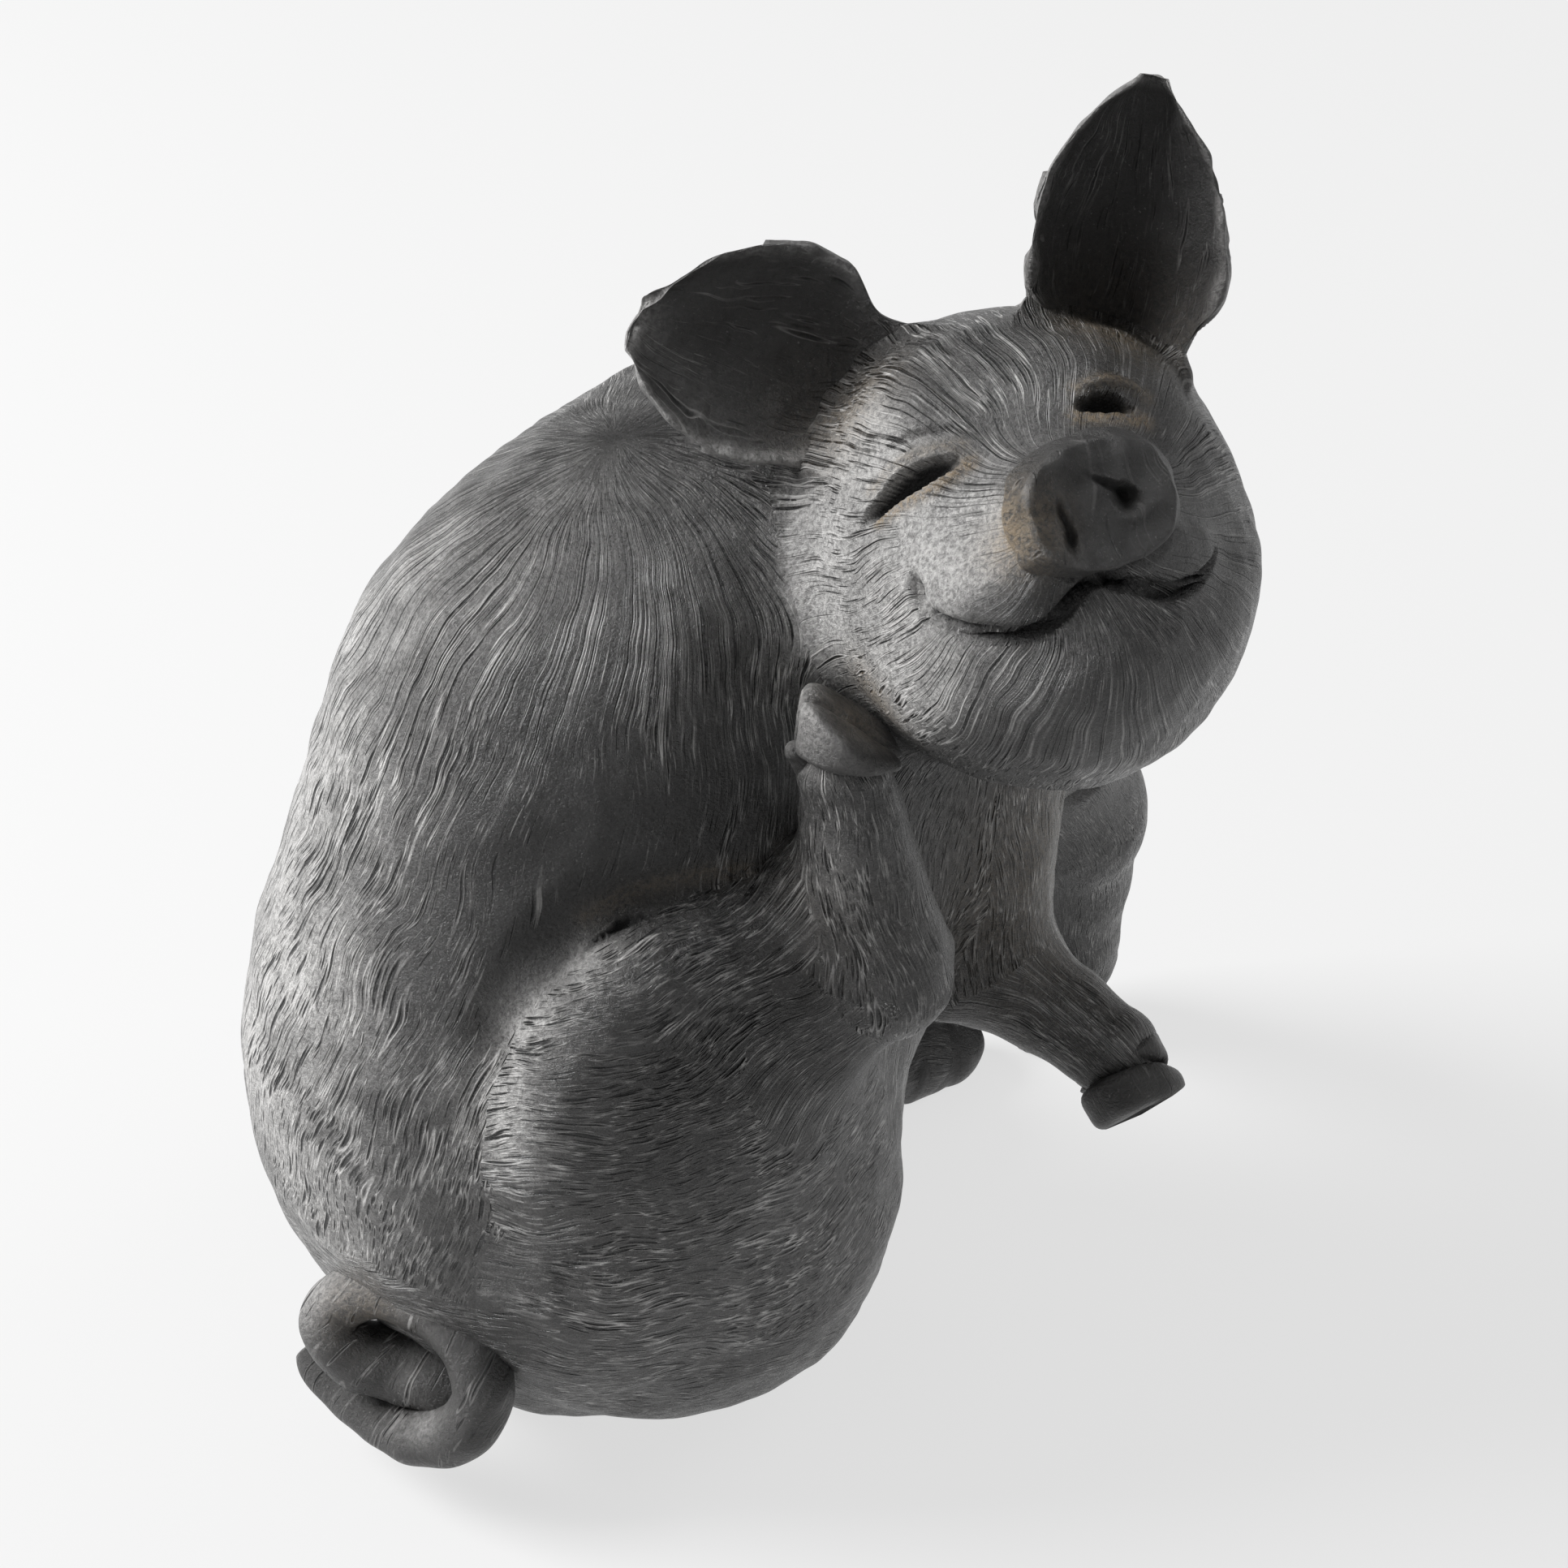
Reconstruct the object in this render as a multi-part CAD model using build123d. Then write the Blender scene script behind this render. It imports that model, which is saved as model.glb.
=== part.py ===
from build123d import *
import math
import os
from dataclasses import dataclass

import numpy as np

# A hand-built clay pig that sits on its rump and scratches its chin with the raised right hind foot.
# Millimetres. Origin: middle of the flat rest face under the rump. +Z up, -Y is the side that the face
# looks to, +X is to the right of someone who stands there. All pieces are luted clay, so nothing moves.

os.makedirs("parts", exist_ok=True)


def unit(vector):
    """Direction of a vector."""
    vector = np.asarray(vector, float)
    return vector / np.linalg.norm(vector)


def turned_axes(turn, tilt, roll):
    """Forward, left and up directions of something that faces -Y before it is turned, tilted back and rolled."""
    turn, tilt, roll = np.radians([turn, tilt, roll])
    forward = np.array([np.sin(turn) * np.cos(tilt), -np.cos(turn) * np.cos(tilt), np.sin(tilt)])
    level = np.array([np.cos(turn), np.sin(turn), 0.0])
    left = np.cos(roll) * level + np.sin(roll) * np.cross(forward, level)
    return np.array([forward, left, np.cross(forward, left)])


def pitched_axes(axes, pitch):
    """The same directions with the forward one raised by the pitch in degrees."""
    forward, left, up = axes
    pitch = np.radians(pitch)
    return np.array([np.cos(pitch) * forward + np.sin(pitch) * up, left, np.cos(pitch) * up - np.sin(pitch) * forward])


def closer(first, second, reach):
    """The smaller of two depths, with a soft hollow of the given reach where they meet."""
    fade = np.maximum(reach - np.abs(first - second), 0) / reach
    return np.minimum(first, second) - fade * fade * reach / 4


@dataclass(frozen=True)
class Egg:
    """A lump of clay with three radii along its own axes."""

    centre: tuple
    radii: tuple
    axes: np.ndarray

    def depth(self, points):
        """Distance of points outside the lump, negative inside."""
        local = (points - np.asarray(self.centre)) @ self.axes.T
        radii = np.asarray(self.radii)
        near = np.linalg.norm(local / radii, axis=-1)
        slope = np.linalg.norm(local / (radii * radii), axis=-1)
        return near * (near - 1) / np.maximum(slope, np.finfo(float).tiny)

    def span(self):
        """The farthest that the lump goes from the frame's origin."""
        return np.linalg.norm(self.centre) + max(self.radii)


@dataclass(frozen=True)
class Limb:
    """A round roll of clay that tapers from its start to its end."""

    start: tuple
    end: tuple
    start_radius: float
    end_radius: float

    def depth(self, points):
        """Distance of points outside the roll, negative inside."""
        start, end = np.asarray(self.start), np.asarray(self.end)
        along = end - start
        length = np.linalg.norm(along)
        taper = (self.start_radius - self.end_radius) / length
        rest = points - start
        height = rest @ (along / length)
        aside = np.linalg.norm(rest - np.multiply.outer(height, along / length), axis=-1)
        lean = math.sqrt(1 - taper * taper)
        place = np.clip(height + aside * taper / lean, 0, length)
        radius = self.start_radius - taper * place
        return np.hypot(aside, height - place) - radius

    def span(self):
        """The farthest that the roll goes from the frame's origin."""
        ends = max(np.linalg.norm(self.start), np.linalg.norm(self.end))
        return ends + max(self.start_radius, self.end_radius)


@dataclass(frozen=True)
class Form:
    """Lumps and rolls smoothed into each other over the blend."""

    masses: tuple
    blend: float = 0.0

    def depth(self, points):
        """Distance of points outside the form, negative inside."""
        result = self.masses[0].depth(points)
        for mass in self.masses[1:]:
            result = closer(result, mass.depth(points), self.blend)
        return result

    def span(self):
        """The farthest that the form goes from the frame's origin."""
        return max(mass.span() for mass in self.masses)


# Attitude in degrees: the body's heading from +X, and the head's turn, backward tilt and roll.
BODY_HEADING = 40
HEAD_TURN = 15
HEAD_TILT = 37
HEAD_ROLL = 4
SNOUT_EXTRA_TURN = 9
THIGH_PITCH = -6

LEVEL_AXES = turned_axes(0, 0, 0)
BODY_AXES = turned_axes(BODY_HEADING + 90, 0, 0)
THIGH_AXES = pitched_axes(BODY_AXES, THIGH_PITCH)
HEAD_AXES = turned_axes(HEAD_TURN, HEAD_TILT, HEAD_ROLL)
SNOUT_AXES = turned_axes(HEAD_TURN + SNOUT_EXTRA_TURN, HEAD_TILT, HEAD_ROLL)
HEAD_CENTRE = (98.0, -4.0, 217.0)


def on_head(forward, left, up):
    """Frame position of a place given in the head's own directions from its centre."""
    place = np.asarray(HEAD_CENTRE) + np.array([forward, left, up]) @ HEAD_AXES
    return tuple(place)


# Clay thickness of the hollow body and head, and the height of the seam between the two body bowls.
BODY_WALL = 8.0
HEAD_WALL = 7.0
BODY_SEAM_HEIGHT = 112.0

# Body: radii along the heading, across it and up.
RUMP = Egg((3.0, 3.0, 58.0), (66.0, 66.0, 64.0), BODY_AXES)
BELLY = Egg((4.0, 4.0, 102.0), (77.0, 64.0, 64.0), BODY_AXES)
BACK = Egg((18.0, 14.0, 158.0), (77.0, 56.0, 74.0), BODY_AXES)
BRISKET = Egg((66.0, 54.0, 132.0), (44.0, 44.0, 56.0), BODY_AXES)
LOWER_BLEND = 34.0
UPPER_BLEND = 36.0
WAIST_BLEND = 30.0
BODY = Form((Form((RUMP, BELLY), LOWER_BLEND), Form((BACK, BRISKET), UPPER_BLEND)), WAIST_BLEND)
BODY_AXIS_LOW = (14.0, 12.0, 40.0)
BODY_AXIS_HIGH = (16.0, 14.0, 200.0)
BODY_CAVITY_LOW = (14.0, 12.0, BODY_WALL)

NECK = Form((Limb((48.0, 32.0, 184.0), (86.0, 8.0, 206.0), 52.0, 38.0),))

# Head: radii along the way that it faces, across it and up, in the head's own directions.
CRANIUM = Egg(on_head(-5.0, 1.0, 19.0), (38.0, 38.0, 31.0), HEAD_AXES)
BROW = Egg(on_head(14.0, 0.0, 22.0), (20.0, 30.0, 16.0), HEAD_AXES)
CHEEKS = Egg(on_head(2.0, 3.0, 3.0), (36.0, 43.0, 28.0), HEAD_AXES)
JOWL = Egg(on_head(8.0, 1.0, -14.0), (40.0, 43.0, 36.0), HEAD_AXES)
CHIN = Egg(on_head(26.0, 0.0, -26.0), (24.0, 28.0, 20.0), HEAD_AXES)
HEAD_BLEND = 14.0
HEAD = Form((CRANIUM, BROW, CHEEKS, JOWL, CHIN), HEAD_BLEND)
HEAD_AXIS_LOW = on_head(20.0, 1.0, -18.0)
HEAD_AXIS_HIGH = on_head(-12.0, 1.0, 16.0)

# Muzzle, snout disc and upper lips.
MUZZLE_ROOT = (18.0, 0.0, -4.0)
MUZZLE_END = (50.0, 0.0, 0.0)
MUZZLE_ROOT_RADIUS = 27.0
MUZZLE_END_RADIUS = 15.0
SNOUT_SEAT = 54.0
SNOUT_RISE = 1.0
SNOUT_HALF_WIDTH = 14.6
SNOUT_HALF_HEIGHT = 11.5
SNOUT_THICKNESS = 8.0
NOSTRIL_OFFSETS = (-8.6, 6.8)
NOSTRIL_HALF_WIDTHS = (1.5, 2.4)
NOSTRIL_HALF_HEIGHTS = (4.4, 2.6)
NOSTRIL_RISE = -1.0
NOSTRIL_DEPTH = 2.6
MUZZLE = Form((Limb(on_head(*MUZZLE_ROOT), on_head(*MUZZLE_END), MUZZLE_ROOT_RADIUS, MUZZLE_END_RADIUS),))
RIGHT_LIP_CENTRE = (38.0, -14.0, -8.0)
LEFT_LIP_CENTRE = (38.0, 13.0, -6.0)
LIP_RADII = (18.0, 14.0, 12.0)

# Mouth line from the right corner to the left one, each as a place across the head and up.
MOUTH_LINE = (
    (-34.0, -5.0),
    (-31.0, -12.5),
    (-23.0, -18.0),
    (-16.8, -19.0),
    (-11.7, -17.2),
    (-6.2, -14.1),
    (-2.2, -11.3),
    (2.5, -14.2),
    (6.4, -16.1),
    (12.4, -17.0),
    (19.3, -16.8),
    (25.0, -12.7),
    (30.0, -5.0),
)
JAW_BACK = 12.0
JAW_REACH = 66.0

# Closed eyes: deep slits, each from its outer to its inner corner.
RIGHT_EYE = ((19.3, -36.4, 11.6), (38.5, -17.0, 14.8))
LEFT_EYE = ((35.0, 21.0, 18.0), (36.4, 6.6, 26.4))
EYE_HALF_HEIGHT = 2.2
EYE_DEPTH = 4.0

# Ears: base and tip in the head's directions, the direction of the first rim, then the reach of the first
# and the second rim at shares of the ear's length.
EAR_THICKNESS = 5.0
RIGHT_EAR_BASE = (1.1, -28.1, 37.8)
RIGHT_EAR_TIP = (3.9, -69.8, 60.3)
RIGHT_EAR_SIDE = (0.112, 0.478, 0.871)
RIGHT_EAR_CUP = 10.0
RIGHT_EAR_SHARES = (-0.28, 0.0, 0.15, 0.35, 0.55, 0.75, 0.9, 1.0)
RIGHT_EAR_FIRST_RIM = (15.0, 18.3, 26.0, 27.6, 25.2, 19.5, 10.5, 4.6)
RIGHT_EAR_SECOND_RIM = (12.0, 14.6, 17.0, 20.4, 20.5, 17.0, 11.3, 4.9)
RIGHT_EAR = (
    RIGHT_EAR_BASE,
    RIGHT_EAR_TIP,
    RIGHT_EAR_SIDE,
    RIGHT_EAR_CUP,
    RIGHT_EAR_SHARES,
    RIGHT_EAR_FIRST_RIM,
    RIGHT_EAR_SECOND_RIM,
)
LEFT_EAR_BASE = (14.1, 25.3, 37.9)
LEFT_EAR_TIP = (33.1, 39.9, 84.8)
LEFT_EAR_SIDE = (-0.201, -0.909, 0.366)
LEFT_EAR_CUP = 13.0
LEFT_EAR_SHARES = (-0.2, 0.0, 0.15, 0.3, 0.45, 0.6, 0.75, 0.88, 1.0)
LEFT_EAR_FIRST_RIM = (13.0, 17.0, 20.0, 21.0, 20.8, 19.6, 15.6, 10.5, 2.4)
LEFT_EAR_SECOND_RIM = (12.0, 16.6, 21.7, 22.4, 20.5, 18.0, 14.0, 7.3, 2.4)
LEFT_EAR = (
    LEFT_EAR_BASE,
    LEFT_EAR_TIP,
    LEFT_EAR_SIDE,
    LEFT_EAR_CUP,
    LEFT_EAR_SHARES,
    LEFT_EAR_FIRST_RIM,
    LEFT_EAR_SECOND_RIM,
)

# Right hind leg, raised to the chin.
THIGH = Egg((22.0, -29.0, 79.0), (54.0, 38.0, 67.0), THIGH_AXES)
BUTTOCK = Egg((34.0, -18.0, 46.0), (42.0, 36.0, 42.0), BODY_AXES)
HAUNCH_BLEND = 16.0
RIGHT_HAUNCH = Form((THIGH, BUTTOCK), HAUNCH_BLEND)
RIGHT_HAUNCH_AXIS = ((0.0, -40.0, 70.0), (50.0, -20.0, 80.0))
RIGHT_SHANK = Form((Limb((46.0, -36.0, 114.0), (68.0, -38.0, 134.0), 24.0, 14.0),))
METATARSUS = Limb((69.0, -38.0, 134.0), (61.0, -38.0, 180.0), 14.5, 10.8)
HOCK_POINT = Limb((70.0, -36.0, 138.0), (78.0, -32.0, 133.0), 9.0, 5.5)
HOCK_BLEND = 8.0
RIGHT_HIND_FOOT = Form((METATARSUS, HOCK_POINT), HOCK_BLEND)
RIGHT_HIND_HOOF = Form((Limb((61.5, -38.0, 176.0), (63.5, -38.0, 200.0), 11.6, 11.2),))
RAISED_HOOF_SEAT_SHARE = 0.3
RAISED_CLAW_PARTING = (0.0, 1.0, 0.0)
RAISED_SOLE_CENTRE = (63.3, -38.2, 198.5)
RAISED_SOLE_NORMAL = (0.56, 0.15, 0.81)
DEWCLAW = Form((Limb((51.0, -38.0, 187.5), (46.0, -39.0, 190.5), 4.6, 2.2),))

# Right foreleg, lifted off the floor.
RIGHT_UPPER_ARM = Form((Limb((90.0, 32.0, 142.0), (95.0, 26.0, 92.0), 20.0, 15.5),))
RIGHT_FOREARM = Form((Limb((96.0, 24.0, 88.0), (122.0, 8.0, 76.0), 14.5, 10.5),))
RIGHT_FORE_HOOF = Form((Limb((121.0, 8.5, 77.0), (129.0, 2.0, 65.0), 11.0, 9.8),))

FORE_CLAW_PARTING = (-0.3, 0.8, 0.5)

# Left foreleg, which carries the chest.
LEFT_UPPER_ARM = Form((Limb((92.0, 62.0, 136.0), (116.0, 100.0, 78.0), 28.0, 18.0),))
LEFT_FOREARM = Form((Limb((116.0, 100.0, 78.0), (117.0, 116.0, 22.0), 17.5, 12.0),))
LEFT_FORE_HOOF = Form((Limb((117.0, 115.5, 22.0), (117.0, 113.0, 4.0), 12.4, 14.0),))
FLOOR_CLAW_PARTING = (0.64, -0.77, 0.0)

# Left hind leg, folded beside the belly with its foot on the floor.
LEFT_THIGH = Egg((0.0, 45.0, 52.0), (50.0, 46.0, 52.0), BODY_AXES)
LEFT_SHANK = Limb((20.0, 50.0, 40.0), (60.0, 78.0, 26.0), 35.0, 20.0)
LEFT_HAUNCH_BLEND = 20.0
LEFT_HAUNCH = Form((LEFT_THIGH, LEFT_SHANK), LEFT_HAUNCH_BLEND)
LEFT_HAUNCH_AXIS = ((0.0, 40.0, 40.0), (60.0, 78.0, 30.0))
LEFT_HIND_FOOT = Form((Limb((60.0, 78.0, 18.0), (78.0, 90.0, 11.0), 17.0, 13.0),))
LEFT_HIND_HOOF = Form((Limb((78.0, 90.0, 10.0), (87.0, 96.0, 8.0), 13.2, 11.5),))

# Tail: a roll of clay coiled once and a half, as places across, up and out from the ring's centre.
TAIL_CENTRE = (-34.0, -53.5, 34.5)
TAIL_OUTWARD = (-0.5, -0.8, 0.3)
TAIL_PATH = (
    (-11.6, -3.8, -14.0),
    (-4.3, -5.9, -7.0),
    (4.4, -5.1, -3.5),
    (12.9, -1.3, 1.0),
    (18.3, 4.5, 4.6),
    (16.8, 11.7, 4.6),
    (7.4, 17.1, 3.0),
    (-5.6, 17.4, 2.0),
    (-15.9, 12.2, 1.0),
    (-19.9, 2.9, 0.0),
    (-17.1, -7.6, -1.0),
    (-8.8, -14.5, -2.0),
    (3.8, -17.3, -4.0),
    (17.7, -16.1, -6.5),
    (27.4, -12.5, -8.5),
    (31.2, -9.8, -9.5),
)
TAIL_RADII = (5.4, 5.4, 5.4, 5.2, 5.2, 5.2, 5.4, 5.6, 5.8, 6.0, 6.0, 5.8, 5.4, 5.0, 4.5, 3.2)

# Larger than the whole figure, for the blocks that cut it.
WORLD = BODY.span() + HEAD.span()

# How much of an ear's hollow is gone at its tip, as a share of the hollow squared.
EAR_FLATTENING_SHARE = 0.9

# Fineness of the wrapped forms, as counts.
STATIONS = 11
FEW_STATIONS = 9
SPOKES = 20
RAY_STEPS = 140
HALVINGS = 26
EAR_SPOTS = 9
TAIL_RINGS = 24
TAIL_SPOKES = 12


def cast(depth, start, directions, reach):
    """How far each direction goes from the start before it leaves the form."""
    steps = np.linspace(0, reach, RAY_STEPS)
    spots = start + directions[:, None, :] * steps[None, :, None]
    outside = depth(spots) > 0
    first = np.maximum(np.argmax(outside, axis=1), 1)
    low, high = steps[first - 1], steps[first]
    for _ in range(HALVINGS):
        middle = (low + high) / 2
        inside = depth(start + directions * middle[:, None]) < 0
        low = np.where(inside, middle, low)
        high = np.where(inside, high, middle)
    return (low + high) / 2


def ring(spots):
    """A smooth closed wire through an even number of spots, as two halves that flow into each other."""
    half = len(spots) // 2
    flows = np.roll(spots, -1, axis=0) - np.roll(spots, 1, axis=0)
    order = np.arange(len(spots) + 1) % len(spots)
    edges = []
    for run in (order[: half + 1], order[half:]):
        ends = [Vector(*unit(flows[run[0]])), Vector(*unit(flows[run[-1]]))]
        edges.append(Edge.make_spline([Vector(*spots[index]) for index in run], tangents=ends))
    return Wire(edges)


def wrap(form, low, high, shrink=0.0, flat_low=False, stations=STATIONS):
    """A solid loft over the form along the line from low to high, which lies inside it, flat at low if asked."""
    low, high = np.asarray(low, float), np.asarray(high, float)
    along = unit(high - low)
    middle = (low + high) / 2
    reach = 2 * form.span()

    def depth(points):
        return form.depth(points) + shrink

    top = middle + along * cast(depth, middle, along[None], reach)[0]
    foot = low if flat_low else middle - along * cast(depth, middle, -along[None], reach)[0]
    side = unit(np.cross(along, LEVEL_AXES[np.argmin(np.abs(LEVEL_AXES @ along))]))
    angles = np.arange(SPOKES) * 2 * math.pi / SPOKES
    spokes = np.outer(np.cos(angles), side) + np.outer(np.sin(angles), np.cross(along, side))
    shares = (1 - np.cos(np.linspace(0, math.pi, stations + 2))) / 2
    shares = shares[:-1] if flat_low else shares[1:-1]
    sections = [] if flat_low else [Vertex(*foot)]
    for share in shares:
        hub = foot + (top - foot) * share
        rim = hub + spokes * cast(depth, hub, spokes, reach)[:, None]
        sections.append(ring(rim))
    sections.append(Vertex(*top))
    return Solid.make_loft(sections)


def limb_wrap(form):
    """A wrap along the first roll of a form."""
    roll = form.masses[0]
    return wrap(form, roll.start, roll.end)


def half_space(place, normal):
    """A large block on the far side of a plane through the place."""
    block = Box(2 * WORLD, 2 * WORLD, WORLD, align=(Align.CENTER, Align.CENTER, Align.MIN))
    return Plane(origin=tuple(place), z_dir=tuple(normal)) * block


def without(solid, *others):
    """The largest piece of a solid that is left once the others are taken away."""
    for other in others:
        solid = largest(solid - other)
    return solid


def largest(shape):
    """The solid of the greatest volume in a shape."""
    return max(shape.solids(), key=lambda solid: solid.volume)


def lay_egg(centre, radii, axes):
    """An egg-shaped solid with its radii along the three axes."""
    stretched = scale(Sphere(radii[0]).solid(), by=tuple(np.asarray(radii) / radii[0]))
    place = Plane(origin=tuple(centre), x_dir=tuple(axes[0]), z_dir=tuple(axes[2]))
    return place.location * stretched


def head_direction(forward, left, up):
    """A direction given in the head's own directions."""
    return unit(np.array([forward, left, up]) @ HEAD_AXES)


def ear(base, tip, side, cup, shares, first_rim, second_rim):
    """A cupped leaf of clay, lofted from the base to the tip."""
    base, tip = np.asarray(on_head(*base)), np.asarray(on_head(*tip))
    along = unit(tip - base)
    across = head_direction(*side)
    across = unit(across - (across @ along) * along)
    front = np.cross(along, across)
    front = front if front @ HEAD_AXES[0] > 0 else -front
    spots = np.cos(np.linspace(0, math.pi, EAR_SPOTS))
    sections = []
    for share, first, second in zip(shares, first_rim, second_rim):
        hollow = cup * math.sqrt(1 - max(share, 0) * EAR_FLATTENING_SHARE)
        rims = np.where(spots > 0, first, second) * spots
        rise = -hollow * (1 - spots**2)
        face = np.column_stack([rims, rise])
        back = np.column_stack([rims, rise - EAR_THICKNESS])[-2:0:-1]
        outline = np.vstack([face, back])
        hub = base + (tip - base) * share
        sections.append(ring(hub + outline[:, :1] * across + outline[:, 1:] * front))
    return Solid.make_loft(sections)


def tail_coil():
    """The coiled roll, lofted through rings along its path."""
    outward = unit(TAIL_OUTWARD)
    across = unit(np.cross(outward, LEVEL_AXES[2]))
    upward = np.cross(across, outward)
    places = np.asarray(TAIL_CENTRE) + np.asarray(TAIL_PATH) @ np.array([across, upward, outward])
    path = Edge.make_spline([Vector(*place) for place in places])
    angles = np.arange(TAIL_SPOKES) * 2 * math.pi / TAIL_SPOKES
    sections = []
    for share in np.linspace(0, 1, TAIL_RINGS):
        radius = np.interp(share, np.linspace(0, 1, len(TAIL_RADII)), TAIL_RADII)
        middle = np.array(tuple(path.position_at(share)))
        flow = np.array(tuple(path.tangent_at(share)))
        first = unit(outward - (outward @ flow) * flow)
        spokes = np.outer(np.cos(angles), first) + np.outer(np.sin(angles), np.cross(flow, first))
        sections.append(ring(middle + radius * spokes))
    return Solid.make_loft(sections)


above_floor = half_space((0, 0, 0), (0, 0, 1))
above_seam = half_space((0, 0, BODY_SEAM_HEIGHT), (0, 0, 1))
pieces = {}

# The body: two hollow bowls luted rim to rim.
body_hull = largest(wrap(BODY, BODY_AXIS_LOW, BODY_AXIS_HIGH) & above_floor)
body_cavity = wrap(BODY, BODY_CAVITY_LOW, BODY_AXIS_HIGH, BODY_WALL, flat_low=True)
pieces["body_lower_bowl"] = largest((body_hull - above_seam) - (body_cavity - above_seam))
pieces["body_upper_bowl"] = largest((body_hull & above_seam) - (body_cavity & above_seam))


def jaw_block():
    """The space below the mouth line, from the jaw's back to ahead of the lips."""
    corners = [(JAW_REACH, MOUTH_LINE[-1][1]), (JAW_REACH, -JAW_REACH)]
    corners += [(-JAW_REACH, -JAW_REACH), (-JAW_REACH, MOUTH_LINE[0][1])]
    line = Edge.make_spline([Vector(*spot, 0) for spot in MOUTH_LINE])
    path = [Vector(*MOUTH_LINE[-1], 0)] + [Vector(*spot, 0) for spot in corners] + [Vector(*MOUTH_LINE[0], 0)]
    outline = Wire([line] + [Edge.make_line(start, end) for start, end in zip(path, path[1:])])
    block = extrude(Face(outline), amount=JAW_REACH, dir=(0, 0, 1))
    return face_plane(JAW_BACK, 0, HEAD_AXES).location * block.solid()


def face_plane(forward, up, axes):
    """A plane across the face, with its x to the figure's left, at a place in the head's directions."""
    return Plane(origin=on_head(forward, 0, up), x_dir=tuple(axes[1]), z_dir=tuple(axes[0]))


def eye_slit(corners):
    """The egg-shaped slit between the corners of a closed eye."""
    outer, inner = np.asarray(corners[0]), np.asarray(corners[1])
    centre = (outer + inner) / 2
    along = unit(inner - outer)
    outward = unit(centre - (centre @ along) * along)
    lid = np.cross(outward, along)
    axes = [head_direction(*direction) for direction in (along, lid, outward)]
    return lay_egg(on_head(*centre), (np.linalg.norm(inner - outer) / 2, EYE_HALF_HEIGHT, EYE_DEPTH), axes)


def snout(plane):
    """The snout disc on its seat, with the two nostrils sunk into its front."""
    disc = extrude(plane * Ellipse(SNOUT_HALF_WIDTH, SNOUT_HALF_HEIGHT), SNOUT_THICKNESS)
    front = plane.offset(SNOUT_THICKNESS)
    for offset, width, height in zip(NOSTRIL_OFFSETS, NOSTRIL_HALF_WIDTHS, NOSTRIL_HALF_HEIGHTS):
        disc -= extrude(front * Pos(offset, NOSTRIL_RISE) * Ellipse(width, height), -NOSTRIL_DEPTH)
    return largest(disc)


# The head: the jaw below the mouth line and the shell above it, both round one hollow.
head_form = wrap(HEAD, HEAD_AXIS_LOW, HEAD_AXIS_HIGH, stations=FEW_STATIONS)
head_cavity = wrap(HEAD, HEAD_AXIS_LOW, HEAD_AXIS_HIGH, HEAD_WALL, stations=FEW_STATIONS)
head_hull = without(head_form, body_hull)
below_mouth = jaw_block()
pieces["lower_jaw"] = without(largest(head_form & below_mouth), body_hull, head_cavity)
pieces["head_shell"] = without(head_form, below_mouth, body_hull, head_cavity, eye_slit(RIGHT_EYE), eye_slit(LEFT_EYE))
pieces["neck_collar"] = without(limb_wrap(NECK), body_hull, head_hull)

# The muzzle with the snout disc on its end, and the two halves of the upper lip below it.
snout_seat = face_plane(SNOUT_SEAT, SNOUT_RISE, SNOUT_AXES)
ahead_of_seat = half_space(snout_seat.origin, snout_seat.z_dir)
muzzle_hull = without(limb_wrap(MUZZLE), ahead_of_seat)
pieces["muzzle"] = without(muzzle_hull, head_form, below_mouth)
pieces["snout_disc"] = snout(snout_seat)
for name, centre in (("upper_lip_right", RIGHT_LIP_CENTRE), ("upper_lip_left", LEFT_LIP_CENTRE)):
    lip = lay_egg(on_head(*centre), LIP_RADII, HEAD_AXES)
    pieces[name] = without(lip, below_mouth, ahead_of_seat, head_form, muzzle_hull)


def seat_of(hoof, share=0.0):
    """Place and direction of the flat joint between a foot and its hoof."""
    roll = hoof.masses[0]
    start, end = np.asarray(roll.start), np.asarray(roll.end)
    return start + (end - start) * share, unit(end - start)


def hoofed(name, foot, hoof, seat, parting, *around):
    """Adds a foot that ends flat at its seat and the two claws beyond it, all clear of the solids around."""
    ahead = half_space(*seat)
    pieces[name] = without(foot, ahead, *around)
    horn = without(largest(hoof & ahead), *around)
    hoof_name = HOOF_NAMES[name]
    middle = horn.center()
    for side, normal in (("outer", -np.asarray(parting)), ("inner", np.asarray(parting))):
        pieces[f"{hoof_name}_{side}"] = largest(horn & half_space(middle, normal))


HOOF_NAMES = {
    "hind_foot_right": "hind_hoof_right",
    "forearm_right": "fore_hoof_right",
    "forearm_left": "fore_hoof_left",
    "hind_foot_left": "hind_hoof_left",
}

# The ears, cupped leaves luted to the crown.
for name, table in (("ear_right", RIGHT_EAR), ("ear_left", LEFT_EAR)):
    pieces[name] = without(ear(*table), head_form, body_hull)

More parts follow.
